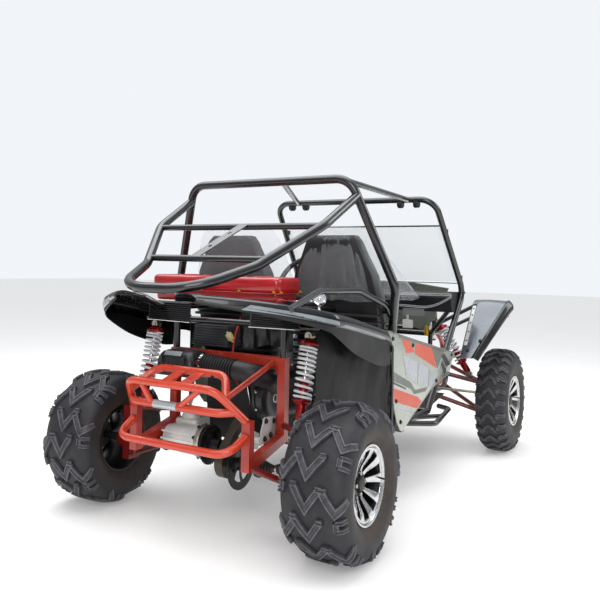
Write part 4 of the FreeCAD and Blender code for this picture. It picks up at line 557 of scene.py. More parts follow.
tyreLooks = {
    "rear": {
        "count": 8, "depth": 0.013, "outer": 0.277,
        "profile": [(0, 0.2645), (0.040, 0.2638), (0.074, 0.2600), (0.100, 0.2510),
                    (0.1165, 0.2360), (0.1248, 0.2120), (0.1250, 0.1870), (0.1175, 0.1640),
                    (0.1060, 0.1480), (0.1000, 0.1410), (0.0975, 0.1290)],
        # across, along the tread and half width of each raised band, in millimetres
        "bands": [
            ([(-62, -44), (-40, -44)], 10), ([(-52, -40), (-6, 32), (40, -34)], 13.5),
            ([(30, -38), (52, -38)], 10),
            ([(-62, 64), (-40, 64)], 10), ([(-52, 68), (-6, 140), (40, 74)], 13.5),
            ([(30, 70), (52, 70)], 10),
            ([(52, -30), (94, 34), (140, -12)], 13.5), ([(42, -34), (66, -36)], 10),
            ([(94, 66), (94, 96)], 9), ([(94, 66), (132, 62)], 9), ([(94, 96), (132, 100)], 9),
            ([(-52, 84), (-94, 148), (-140, 102)], 13.5), ([(-42, 80), (-66, 78)], 10),
            ([(-94, -44), (-94, -14)], 9), ([(-94, -44), (-132, -48)], 9),
            ([(-94, -14), (-132, -10)], 9)],
        "fade": (0.118, 0.146),
    },
    "front": {
        "count": 13, "depth": 0.010, "outer": 0.288,
        "profile": [(0, 0.2790), (0.026, 0.2780), (0.048, 0.2735), (0.066, 0.2620),
                    (0.0785, 0.2440), (0.0850, 0.2180), (0.0855, 0.1900), (0.0810, 0.1680),
                    (0.0745, 0.1520), (0.0720, 0.1420), (0.0695, 0.1290)],
        "bands": [
            ([(-34, 20), (-20, -8), (0, -24), (20, -8), (34, 20)], 7),
            ([(-34, 86), (-20, 58), (0, 42), (20, 58), (34, 86)], 7),
            ([(42, -24), (66, -18), (92, -20)], 11), ([(42, 42), (66, 48), (92, 46)], 11),
            ([(-42, 9), (-66, 15), (-92, 13)], 11), ([(-42, 75), (-66, 81), (-92, 79)], 11),
            ([(40, -26), (44, 2)], 6), ([(40, 40), (44, 68)], 6),
            ([(-40, 8), (-44, 36)], 6), ([(-40, 74), (-44, 102)], 6)],
        "fade": (0.082, 0.104),
    },
}


def profileTable(look):
    # Along the section: run, y, radius and the outward direction
    line = smoothLine(look["profile"], 6)
    table, run = [], 0.0
    for i, (y, r) in enumerate(line):
        if i:
            run += math.hypot(y - line[i - 1][0], r - line[i - 1][1])
        a, b = line[max(i - 1, 0)], line[min(i + 1, len(line) - 1)]
        along = Vector((b[0] - a[0], b[1] - a[1])).normalized()
        table.append((run, y, r, -along.y, along.x))
    return table


def onCarcass(table, across):
    run, sign = abs(across), 1 if across >= 0 else -1
    for first, second in zip(table, table[1:]):
        if run <= second[0]:
            t = (run - first[0]) / (second[0] - first[0])
            run, y, r, outY, outR = [p + (q - p) * t for p, q in zip(first, second)]
            return sign * y, r, sign * outY, outR
    return sign * table[-1][1], table[-1][2], sign * table[-1][3], table[-1][4]


def bandRings(line, half, look):
    # Splits a band's middle line into short runs and squares its corners, and sets out where the
    # pale bloom and painted highlight lie
    steps = []
    for (s0, t0), (s1, t1) in zip(line, line[1:]):
        count = max(1, round(math.hypot(s1 - s0, t1 - t0) / 16))
        steps += [(s0 + (s1 - s0) * i / count, t0 + (t1 - t0) * i / count) for i in range(count)]
    steps.append(line[-1])
    section = [(-1, -4), (-0.94, 0.6), (-0.86, 1), (-0.56, 1), (-0.42, 0.66), (0.42, 0.66),
               (0.56, 1), (0.86, 1), (0.94, 0.6), (1, -4)]
    rings, bloomHighlightMarks = [], []
    for i, (s, t) in enumerate(steps):
        before, after = steps[max(i - 1, 0)], steps[min(i + 1, len(steps) - 1)]
        into = Vector((s - before[0], t - before[1]))
        out = Vector((after[0] - s, after[1] - t))
        into = (into if into.length else out).normalized()
        out = (out if out.length else into).normalized()
        middle = (into + out).normalized()
        stretch = 1 / max(middle.dot(into), 0.45)
        side = Vector((-middle.y, middle.x)) * stretch
        ring = []
        for offset, height in section:
            ring.append((s + side.x * offset * half, t + side.y * offset * half,
                         height * look["depth"] if height > 0 else height / 1000))
            # Rail tops carry the full painted highlight and bloom, the rest of the band less, the
            # sunk foot least
            bloomHighlightMarks.append(1.0 if height == 1 else 0.45 if height > 0 else 0.1)
        rings.append(ring)
    return rings, bloomHighlightMarks


def makeTyre(label, place):
    kind = label.split("_")[0]
    look = tyreLooks[kind]
    table = profileTable(look)
    centre = Vector(place["centre"])

    def onTyre(s, t, lift):
        y, r, outY, outR = onCarcass(table, s / 1000)
        low, high = look["fade"]
        fade = min(max((abs(s) / 1000 - low) / (high - low), 0), 1)
        if lift > 0:
            lift *= 1 - fade * 0.9
        angle = t / 1000 / look["outer"]
        r += outR * lift
        r = min(r, look["outer"])
        return Vector((r * math.cos(angle), place["side"] * (y + outY * lift), r * math.sin(angle)))

    lugs, bloomHighlightMarks = Shape(), []
    for line, half in look["bands"]:
        rings, ringBloomHighlights = bandRings(line, half, look)
        lugs.rings([[onTyre(*p) for p in ring] for ring in rings])
        bloomHighlightMarks += ringBloomHighlights
    mesh = lugs.mesh(label + "Lug")
    layMarks(mesh, "bloomAndPaintedHighlight", bloomHighlightMarks[:len(mesh.vertices)])
    ring = ringMesh("lugRing", mesh, look["count"], "tyreRubber")

    half = [(y, r) for run, y, r, outY, outR in table]
    inner = [(half[-1][0] - 0.012, half[-1][1]), (half[-4][0] - 0.014, half[-4][1]),
             (half[20][0] - 0.012, half[20][1]), (half[8][0], half[8][1] - 0.014),
             (0, half[0][1] - 0.014)]
    outline = half + inner
    outline = outline + [(-y, r) for y, r in reversed(outline[1:-1])]
    body = Shape().hoop(outline, side=place["side"], steps=96).mesh(label + "Carcass")
    radii = [math.hypot(v.co.x, v.co.z) for v in body.vertices]
    rimEdge, dustReach = 0.141, 0.075
    layMarks(body, "earth", [max(0.0, 1 - max(r - rimEdge, 0) / dustReach) for r in radii])
    # A little more of the pale bloom and painted highlight over the tread than on the walls
    layMarks(body, "bloomAndPaintedHighlight", [0.07 if abs(r - look["outer"]) < 0.05 else 0.03 for r in radii])
    whole = bmesh.new()
    whole.from_mesh(body)
    whole.from_mesh(ring)
    bmesh.ops.transform(whole, matrix=Matrix.Translation(centre), verts=whole.verts)
    result = bpy.data.meshes.new(label)
    whole.to_mesh(result)
    whole.free()
    tyre = placePiece("dressedTyre_" + label, result, "tyreRubber", "wheel_" + label)
    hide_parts("tyre_" + label)


rimLooks = {
    "rear": {"half": 0.104, "spokes": 10, "hubY": 0.064, "rimY": 0.098, "windowIn": 0.046,
             "windowOut": 0.121, "stub": -0.1835},
    "front": {"half": 0.076, "spokes": 10, "hubY": 0.044, "rimY": 0.070, "windowIn": 0.046,
              "windowOut": 0.121, "stub": 0.012},
}


def makeRim(label, place):
    look = rimLooks[label.split("_")[0]]
    side, centre = place["side"], Vector(place["centre"])
    half, shift = look["half"], Matrix.Translation(place["centre"])
    barrel = [(half - 0.004, 0.1300), (half, 0.1325), (half, 0.1385), (half - 0.003, 0.1400),
              (half - 0.006, 0.1390), (half - 0.0075, 0.1275), (half - 0.024, 0.1262),
              (0.030, 0.1180), (-0.030, 0.1180), (-half + 0.024, 0.1262), (-half + 0.0075, 0.1275),
              (-half + 0.004, 0.1400), (-half, 0.1390), (-half, 0.1330), (-half + 0.010, 0.1240),
              (-0.030, 0.1135), (0.030, 0.1135), (half - 0.030, 0.1215), (half - 0.012, 0.1235)]
    ringShape = Shape().hoop(barrel, side=side)
    band = look["rimY"]
    bright = Shape()
    for profile in ([(half - 0.010, 0.1225), (half - 0.003, 0.1300), (half + 0.0008, 0.1325),
                     (half + 0.0008, 0.1387), (half - 0.0028, 0.1406), (half - 0.004, 0.1385),
                     (half - 0.0035, 0.1335), (half - 0.0085, 0.1240)],
                    [(band - 0.004, 0.1175), (band - 0.0005, 0.1185), (band + 0.001, 0.1200),
                     (band + 0.001, 0.1262), (band - 0.004, 0.1262)]):
        bright.hoop(profile, side=side)
    bright.move(shift)
    bright.piece("rimLip_" + label, "machinedAluminium", "wheel_" + label)
    ringShape.hoop([(band - 0.018, 0.1130), (band - 0.018, 0.1250), (band - 0.002, 0.1250),
                    (band - 0.002, 0.1160)], side=side)
    ringShape.lathe([(look["hubY"] - 0.02, 0.001), (look["hubY"] - 0.02, 0.044),
                     (look["hubY"] - 0.002, 0.046), (look["hubY"] + 0.002, 0.043),
                     (look["hubY"] + 0.003, 0.033), (look["hubY"], 0.030),
                     (look["hubY"], 0.001)], (0, 0, 0), (0, side, 0), 48)
    ringShape.move(shift)
    barrelPiece = ringShape.piece("rimBarrel_" + label, "blackWheelPaint", "wheel_" + label)
    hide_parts("rim_" + label)

    def spoke(shape, grow, low, high):
        # A wedge between two windows, widening to the rim and dished towards the hub
        rings = []
        for r, y, half in ((look["windowIn"] - 0.006, look["hubY"], 0.0080),
                           (look["windowIn"] + 0.012, look["hubY"] + 0.005, 0.0092),
                           (look["windowOut"] - 0.022, look["rimY"] - 0.007, 0.0152),
                           (look["windowOut"], look["rimY"], 0.0200)):
            half += grow
            rings.append([Vector((r, (y + low) * side, -half)),
                          Vector((r, (y + high) * side, -half)),
                          Vector((r, (y + high) * side, half)),
                          Vector((r, (y + low) * side, half))])
        return shape.rings(rings)

    for name, finish, args in (("rimSpokeBack_", "blackWheelPaint", (0.0, -0.016, -0.0004)),
                               ("rimSpokeFace_", "machinedAluminium", (-0.0012, -0.0008, 0.0012))):
        mesh = spoke(Shape(), *args).mesh("spoke", 0.9)
        mesh = ringMesh("spokeRing", mesh, look["spokes"], finish)
        mesh.transform(shift)
        placePiece(name + label, mesh, finish, "wheel_" + label)

    core = Shape()
    back = look["hubY"] - 0.020
    core.lathe([(back - 0.022, 0.002), (back - 0.022, 0.060), (back - 0.006, 0.066), (back, 0.052),
                (back, 0.002)], (0, 0, 0), (0, side, 0), 48)
    if look["stub"] < 0:
        core.lathe([(look["stub"], 0.001), (look["stub"], 0.0165), (back - 0.03, 0.0168),
                    (back - 0.03, 0.030), (back - 0.01, 0.030), (back - 0.01, 0.001)],
                   (0, 0, 0), (0, side, 0), 24)
    core.move(shift)
    core.piece("wheelHub_" + label, "darkCastIron", "wheel_" + label)
    cap = Shape().lathe([(look["hubY"] - 0.004, 0.001), (look["hubY"] - 0.004, 0.0265),
                         (look["hubY"] + 0.010, 0.0265), (look["hubY"] + 0.014, 0.0240),
                         (look["hubY"] + 0.0165, 0.0160), (look["hubY"] + 0.017, 0.001)],
                        (0, 0, 0), (0, side, 0), 32).move(shift)
    cap.piece("hubCap_" + label, "grainedBlackAbs", "wheel_" + label)
    nut = Shape().lathe([(look["hubY"] - 0.002, 0.0001), (look["hubY"] - 0.002, 0.0085),
                         (look["hubY"] + 0.009, 0.0085), (look["hubY"] + 0.011, 0.0068),
                         (look["hubY"] + 0.011, 0.0001)], (0.036, 0, 0), (0, side, 0), 6)
    nuts = ringMesh("nutRing", nut.mesh("nut", 0.5), 4, "zincPlatedSteel")
    nuts.transform(shift)
    placePiece("wheelNuts_" + label, nuts, "zincPlatedSteel", "wheel_" + label)
    valve = Shape().tube([(0.110, (look["rimY"] - 0.002) * side, 0),
                          (0.104, (look["rimY"] + 0.020) * side, 0)],
                         0.0035, 10).move(shift)
    valve.piece("tyreValve_" + label, "blackRubber", "wheel_" + label)


for label, place in wheels.items():
    makeTyre(label, place)
    makeRim(label, place)
print("wheels")

# Coil-over shocks: red cups, white progressive spring, chromed rod and a red body
shockLook = {"wire": 0.0052, "coil": 0.0318, "body": 0.0185, "cup": 0.0365}


def makeShock(name, top, foot, look, coils):
    top, foot = Vector(top), Vector(foot)
    way = (top - foot).normalized()
    length = (top - foot).length
    cups, body, shaft, eyes = Shape(), Shape(), Shape(), Shape()
    seat, crown = length * 0.26, length * 0.885
    r = look["cup"]
    cups.lathe([(crown, 0.012), (crown, r), (crown + 0.006, r + 0.001), (crown + 0.014, r - 0.003),
                (crown + 0.020, 0.021), (crown + 0.028, 0.016), (crown + 0.028, 0.001),
                (crown - 0.004, 0.001), (crown - 0.004, 0.012)], foot, way, 36)
    cups.lathe([(seat - 0.016, 0.0195), (seat - 0.016, 0.026), (seat - 0.011, 0.028),
                (seat - 0.007, 0.0345), (seat, r), (seat, 0.0195)], foot, way, 36)
    body.lathe([(0.012, 0.001), (0.012, 0.0150), (0.020, look["body"]),
                (seat + 0.060, look["body"]), (seat + 0.064, 0.0165), (seat + 0.074, 0.0160),
                (seat + 0.076, 0.001)], foot, way,
                32)
    for i in range(7):
        y = seat - 0.016 - 0.0045 * (i + 1)
        body.lathe([(y, 0.0185), (y, 0.0200), (y + 0.0026, 0.0200), (y + 0.0026, 0.0185)], foot,
                   way, 32)
    shaft.lathe([(seat + 0.070, 0.001), (seat + 0.070, 0.0065), (crown + 0.004, 0.0065),
                 (crown + 0.004, 0.001)], foot, way, 20)
    for point in (top, foot):
        # A steel eye with a rubber bush, its pin along the car
        eyes.lathe([(-0.0155, 0.0062), (-0.0155, 0.0152), (0.0155, 0.0152), (0.0155, 0.0062)],
                   point, (1, 0, 0), 28)
        eyes.lathe([(-0.0200, 0.001), (-0.0200, 0.0075), (-0.0160, 0.0075), (0.0160, 0.0075),
                    (0.0200, 0.0075), (0.0200, 0.001)], point, (1, 0, 0), 6)
    first = way.orthogonal().normalized()
    second = way.cross(first)
    points, perTurn = [], 16
    total = coils * perTurn
    for i in range(total + 1):
        share = i / total
        # Close wound at both ends and slowly opening towards the foot
        drop = 0.055 * min(share / 0.10, 1) + 0.40 * max(0, min((share - 0.10) / 0.42, 1)) \
            + 0.49 * max(0, min((share - 0.52) / 0.38, 1)) + 0.055 * max(0, (share - 0.90) / 0.10)
        angle = 2 * math.pi * i / perTurn
        at = seat + look["wire"] + (crown - seat - 2 * look["wire"]) * (1 - drop)
        points.append(foot + way * at
                      + (first * math.cos(angle) + second * math.sin(angle)) * look["coil"])
    spring = Shape().tube(points, look["wire"], 8)
    spring.piece(name + "Spring", "whiteSpringEnamel")
    cups.piece(name + "Cups", "redAnodised")
    body.piece(name + "Body", "redAnodised")
    shaft.piece(name + "Rod", "brightChrome")
    return eyes.piece(name + "Eyes", "zincPlatedSteel")


rearEyes = [makeShock(name, (-0.8785, 0.378 * side, 0.7653), (-0.9565, 0.378 * side, 0.445),
                      shockLook, 11) for name,
                      side in (("rearShockRight", -1), ("rearShockLeft", 1))]
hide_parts("rear_shocks")
frontEyes = [makeShock(name, (frontAxle, 0.2797 * side, 0.700), (frontAxle, 0.4646 * side, 0.4139),
                       shockLook, 10) for name,
                       side in (("frontShockRight", -1), ("frontShockLeft", 1))]
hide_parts("front_shocks")
print("shocks")

# High-backed bucket seats: a padded back with two side bolsters and a padded cushion
seatLook = {
    "y": 0.268, "voxel": 0.006, "pressure": 4.0, "cap": 0.022, "frames": 20,
    # height, front face, depth, half width, width of a bolster
    "back": [(0.445, -0.262, 0.070, 0.150, 0.050), (0.520, -0.276, 0.088, 0.176, 0.056),
             (0.640, -0.298, 0.092, 0.192, 0.060), (0.780, -0.326, 0.092, 0.206, 0.060),
             (0.900, -0.350, 0.090, 0.210, 0.058), (1.000, -0.372, 0.084, 0.188, 0.050),
             (1.080, -0.388, 0.078, 0.150, 0.040), (1.140, -0.400, 0.070, 0.126, 0.030),
             (1.170, -0.408, 0.052, 0.104, 0.020)],
    # distance along, middle of its height, half height, half width, width of a bolster
    "cushion": [(-0.245, 0.462, 0.034, 0.150, 0.045), (-0.180, 0.462, 0.044, 0.172, 0.052),
                (-0.060, 0.460, 0.046, 0.176, 0.054), (0.060, 0.461, 0.046, 0.174, 0.052),
                (0.150, 0.463, 0.044, 0.168, 0.048), (0.192, 0.461, 0.030, 0.148, 0.040)],
}


def pillowSection(half, bolster, depth):
    # Points across one section: the back is a shallow arc, the front has two bolsters and a hollow
    points = []
    inner = half - bolster * 1.7
    for t in (-1, -0.7, -0.3, 0, 0.3, 0.7, 1):
        points.append((half * 0.93 * t, -depth * (1 - 0.18 * t * t)))
    for y, x in ((half, -depth * 0.45), (half * 0.985, -0.006), (half - bolster * 0.5, 0.012),
                 (half - bolster * 1.15, -0.004), (inner, -depth * 0.30),
                 (inner * 0.5, -depth * 0.27)):
        points.append((y, x))
    front = [(-y, x) for y, x in reversed(points[7:])]
    return points + [(0, -depth * 0.25)] + front


def seatForms():
    back, cushion = Shape(), Shape()
    back.rings([[Vector((face + x, y, z)) for y, x in pillowSection(half, bolster, depth)]
                for z, face, depth, half, bolster in seatLook["back"]])
    cushion.rings([[Vector((along, y, middle + high * (1 + 2 * x / 0.09)))
                    for y, x in pillowSection(half, bolster, 0.09)]
                   for along, middle, high, half, bolster in seatLook["cushion"]])
    return back.mesh("seatBackForm"), cushion.mesh("seatCushionForm")


def stuffed(mesh, look):
    # Remeshed and blown up as cloth, so that the padding crowns between its seams
    holder = bpy.data.objects.new("stuffing", mesh)
    scene.collection.objects.link(holder)
    remesh = holder.modifiers.new("even", "REMESH")
    remesh.mode, remesh.voxel_size = "VOXEL", look["voxel"]
    start = evaluated(holder)
    holder.modifiers.remove(remesh)
    holder.data = start
    rest = [v.co.copy() for v in start.vertices]
    cloth = holder.modifiers.new("padding", "CLOTH")
    cloth.settings.use_pressure = True
    cloth.settings.uniform_pressure_force = look["pressure"]
    cloth.settings.effector_weights.gravity = 0
    cloth.settings.quality = 4
    for step in range(1, look["frames"] + 1):
        scene.frame_set(step)
    blown = evaluated(holder)
    for vertex, before in zip(blown.vertices, rest):
        shift = vertex.co - before
        if shift.length > look["cap"]:
            vertex.co = before + shift.normalized() * look["cap"]
    holder.modifiers.remove(cloth)
    scene.frame_set(1)
    holder.data = blown
    smooth = holder.modifiers.new("soft", "SMOOTH")
    smooth.factor, smooth.iterations = 0.5, 6
    result = evaluated(holder)
    holder.modifiers.remove(smooth)
    bpy.data.objects.remove(holder)
    return result


def onSurface(mesh, points, lift):
    tree = bvhtree.BVHTree.FromPolygons([v.co for v in mesh.vertices],
                                        [list(p.vertices) for p in mesh.polygons])
    result = []
    for point in points:
        spot, normal, index, distance = tree.find_nearest(Vector(point))
        result.append(spot + normal * lift)
    return result


def seatSeams(backMesh, cushionMesh):
    # Welt piping round the bolsters and the sewn channels across the middle panel
    welt, channels = Shape(), Shape()
    rows = seatLook["back"][1:]
    for side in (-1, 1):
        line = [(face + 0.02, side * (half - bolster * 1.25), z) for z, face, depth, half,
                bolster in rows]
        welt.tube(onSurface(backMesh, curvePoints(line, 0.03, 4), 0.0), 0.0030, 8)
        line = [(along, side * (half - bolster * 1.25), middle + high + 0.02)
                for along, middle, high, half, bolster in seatLook["cushion"]]
        welt.tube(onSurface(cushionMesh, curvePoints(line, 0.03, 4), 0.0), 0.0030, 8)
    for z in (0.60, 0.68, 0.76, 0.84, 0.92, 1.00):
        face = -0.262 - (z - 0.445) * 0.2
        line = [(face, y / 100, z) for y in range(-11, 12, 2)]
        channels.tube(onSurface(backMesh, line, -0.0006), 0.0021, 6)
    for x in (-0.14, -0.06, 0.02, 0.10):
        line = [(x, y / 100, 0.53) for y in range(-11, 12, 2)]
        channels.tube(onSurface(cushionMesh, line, -0.0006), 0.0021, 6)
    return welt.mesh("seatWelt"), channels.mesh("seatChannels")


# The film round each seat as it left the factory: height, rear, front, half width, fold depth
filmLook = {
    "right": {"rows": [(1.212, -0.440, -0.395, 0.060, 0.000), (1.209, -0.458, -0.366, 0.112, 0.001),
                       (1.196, -0.470, -0.330, 0.136, 0.002), (1.165, -0.480, -0.285, 0.152, 0.004),
                       (1.110, -0.488, -0.215, 0.176, 0.007), (1.050, -0.494, -0.130, 0.200, 0.011),
                       (0.990, -0.500, -0.040, 0.222, 0.014), (0.940, -0.504, 0.050, 0.236, 0.017),
                       (0.905, -0.505, 0.120, 0.242, 0.018), (0.885, -0.506, 0.165, 0.244, 0.020)],
              "seed": 3.0, "flatWidth": 1.25},
    "left": {"rows": [(1.216, -0.455, -0.375, 0.090, 0.000), (1.212, -0.470, -0.345, 0.150, 0.001),
                      (1.198, -0.482, -0.320, 0.182, 0.001), (1.160, -0.490, -0.290, 0.202, 0.002),
                      (1.100, -0.496, -0.250, 0.216, 0.003), (1.030, -0.500, -0.200, 0.226, 0.005),
                      (0.960, -0.503, -0.150, 0.233, 0.007), (0.890, -0.505, -0.110, 0.236, 0.009),
                      (0.820, -0.506, -0.090, 0.236, 0.010)],
             "seed": 11.0, "flatWidth": 1.25},
}


def makeFilm(name, look, y):
    # Rounded squares of film, creased by noise that grows with the fold depth
    count, rows, squareness = 220, look["rows"], 3.2
    fine = []
    for a, b in zip(rows, rows[1:]):
        fine += [tuple(p + (q - p) * t / 5 for p, q in zip(a, b)) for t in range(5)]
    fine.append(rows[-1])
    rings = []
    for z, rear, front, half, fold in fine:
        ring = []
        for turn in turns(count):
            c, s = math.cos(turn), math.sin(turn)
            grow = 1 / (abs(c) ** squareness + abs(s) ** squareness) ** (1 / squareness)
            along, across = c * grow, s * grow
            crease = noise.noise((c * 2.6 + look["seed"], s * 2.6, z * 1.1)) * 1.2 \
                + abs(noise.noise((c * 7, s * 7 + look["seed"], z * 1.7))) * 1.6 \
                + abs(noise.noise((c * 15 + look["seed"], s * 15, z * 3.4))) * 0.9
            push = fold * (1.1 - crease)
            middle, reach = (rear + front) / 2, (front - rear) / 2
            drop = 0.020 * noise.noise((c * 3, s * 3, look["seed"])) * (fold / 0.02) ** 2
            ring.append(Vector((middle + (reach - push) * along, y + (half - push) * across,
                                z + drop)))
        rings.append(ring)
    film = Shape().rings(rings, closeEnds=False)
    top = sum(rings[0], Vector()) / count + Vector((0, 0, 0.0012))
    film.put(rings[0] + [top], [[(i + 1) % count, i, count] for i in range(count)])
    mesh = film.mesh(name)
    piece = placePiece(name, mesh, "polytheneFilm")


backMesh, cushionMesh = [stuffed(mesh, seatLook) for mesh in seatForms()]
weltMesh, channelMesh = seatSeams(backMesh, cushionMesh)
for name, side in (("Right", -1), ("Left", 1)):
    for part, mesh, finish in (("seatBack", backMesh, "blackSeatVinyl"),
                               ("seatCushion", cushionMesh, "blackSeatVinyl"),
                               ("seatWelt", weltMesh, "redSeatVinyl"),
                               ("seatChannels", channelMesh, "redSeatVinyl")):
        copy = mesh.copy()
        copy.transform(Matrix.Translation((0, side * seatLook["y"], 0)))
        piece = placePiece(part + name, copy, finish)
        if part == "seatBack":
            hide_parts("seat_" + name.lower())
    shell = Shape()
    rings = []
    for z, face, depth, half, bolster in seatLook["back"]:
        ring = [Vector((face - depth * 0.75, t * (half + 0.006), z)) for t in (-1, -0.6, 0, 0.6, 1)]
        ring += [Vector((face - depth - 0.012, t * (half - 0.004), z))
                 for t in (1, 0.6, 0, -0.6, -1)]
        rings.append(ring)
    shell.rings(rings)
    # The moulded shell behind the padding, with cooling ribs along its side
    for i in range(9):
        z = 0.56 + i * 0.032
        shell.block((-0.40 - (z - 0.5) * 0.2, -0.214, z),
                    (-0.31 - (z - 0.5) * 0.2, 0.214, z + 0.012))
    shell.block((-0.30, -0.170, 0.408), (0.19, 0.170, 0.425))
    shell.move(Matrix.Translation((0, side * seatLook["y"], 0)))
    shell.piece("seatShell" + name, "grainedBlackAbs", bevelMm=2)
    makeFilm("seatFilm" + name, filmLook[name.lower()], side * seatLook["y"])
print("seats")

# Side panels: silver ABS with flat shapes of coloured film, the same on both sides
panelLook = {
    "face": 0.5292, "wall": 0.005,
    "outline": [(-0.4535, 0.767), (0.478, 0.594), (0.4885, 0.588), (0.436, 0.545), (0.3955, 0.489),
                (0.1175, 0.449), (0.040, 0.424), (-0.255, 0.326), (-0.2785, 0.318), (-0.300, 0.322),
                (-0.345, 0.366), (-0.388, 0.450), (-0.401, 0.550), (-0.416, 0.678)],
    "films": {
        "orangeFilm": [[(-0.311, 0.733), (-0.217, 0.713), (-0.130, 0.650), (-0.240, 0.654)],
                       [(-0.118, 0.701), (0.108, 0.659), (0.186, 0.543), (-0.130, 0.641)],
                       [(-0.392, 0.519), (-0.086, 0.440), (-0.029, 0.409), (-0.096, 0.388),
                        (-0.386, 0.461)]],
        "greenGreyFilm": [[(0.108, 0.651), (0.296, 0.615), (0.201, 0.541)],
                          [(-0.345, 0.745), (0.322, 0.621), (0.339, 0.606), (-0.333, 0.729)],
                          [(-0.395, 0.589), (-0.180, 0.518), (-0.126, 0.476), (0.053, 0.467),
                           (0.020, 0.451), (-0.135, 0.459), (-0.175, 0.487), (-0.392, 0.550)]],
        "darkGreyFilm": [[(0.306, 0.605), (0.409, 0.539), (0.341, 0.536), (0.257, 0.595)],
                         [(0.258, 0.555), (0.309, 0.494), (0.341, 0.516), (0.275, 0.570)],
                         [(-0.391, 0.545), (-0.250, 0.503), (-0.240, 0.493), (-0.390, 0.536)]],
        "paleFilm": [[(-0.285, 0.652), (-0.100, 0.600), (-0.118, 0.508), (-0.235, 0.546)],
                     [(-0.078, 0.594), (0.052, 0.556), (0.040, 0.470), (-0.092, 0.500)],
                     [(0.074, 0.549), (0.150, 0.526), (0.152, 0.468), (0.062, 0.468)],
                     [(-0.386, 0.453), (-0.133, 0.387), (-0.159, 0.378), (-0.384, 0.440)]],
    },
    "bolts": [(-0.408, 0.730), (-0.362, 0.460), (-0.306, 0.362), (-0.158, 0.682), (0.430, 0.585),
              (0.18, 0.482)],
}


def makeSidePanels(look):
    panels = Shape().prism([(x, -look["face"], z) for x, z in look["outline"]],
                           (0, look["wall"], 0))
    # A folded flange stiffens the top edge and hooks over the frame tube
    panels.prism([(-0.445, -look["face"], 0.7600), (0.470, -look["face"], 0.5900),
                  (0.470, -look["face"], 0.5965), (-0.445, -look["face"], 0.7665)], (0, 0.024, 0))
    piece = panels.mirrored().piece("sidePanels", "silverPaintedAbs", bevelMm=1.6)
    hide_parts("side_panels")
    for i, (finish, shapes) in enumerate(look["films"].items()):
        # Each colour lies a little over the one before, so that no two faces share a plane
        films, lift = Shape(), 0.0006 + 0.0004 * i
        for outline in shapes:
            films.prism([(x, -look["face"] - lift, z) for x, z in outline], (0, 0.0012 + lift, 0))
        films.mirrored().piece("panelFilm_" + finish, finish, smooth=False)
    spots = [((x, side * (look["face"] + 0.0004), z), (0, side, 0))
             for x, z in look["bolts"] for side in (-1, 1)]
    scatter("sidePanelBolts", boltShape(0.0075, 0.005, 1.35), spots, "darkCastIron")


makeSidePanels(panelLook)

# Rear fenders: x, inner y, outer y, top z, lip and skirt depth; a thin moulded shell each side
rearFenderLook = {
    "stations": [(-1.362, 0.095, 0.190, 0.922, 0.018, 0.026),
                 (-1.300, 0.125, 0.265, 0.916, 0.026, 0.036),
                 (-1.200, 0.173, 0.375, 0.903, 0.036, 0.048),
                 (-1.100, 0.222, 0.490, 0.884, 0.043, 0.060),
                 (-1.040, 0.250, 0.545, 0.871, 0.045, 0.070),
                 (-0.990, 0.268, 0.562, 0.861, 0.045, 0.088),
                 (-0.860, 0.318, 0.567, 0.838, 0.045, 0.128),
                 (-0.700, 0.379, 0.568, 0.808, 0.045, 0.148),
                 (-0.610, 0.413, 0.569, 0.789, 0.044, 0.150),
                 (-0.560, 0.432, 0.569, 0.776, 0.038, 0.142),
                 (-0.528, 0.444, 0.569, 0.757, 0.030, 0.124),
                 (-0.514, 0.450, 0.569, 0.728, 0.020, 0.096),
                 (-0.508, 0.452, 0.569, 0.700, 0.012, 0.068)],
    "wall": 0.004,
    # from, to along the car, depths of the upper and lower edge at both ends
    "strips": [(-1.262, -1.005, 0.015, 0.036, 0.028, 0.042),
               (-0.998, -0.600, 0.034, 0.044, 0.034, 0.043)],
}


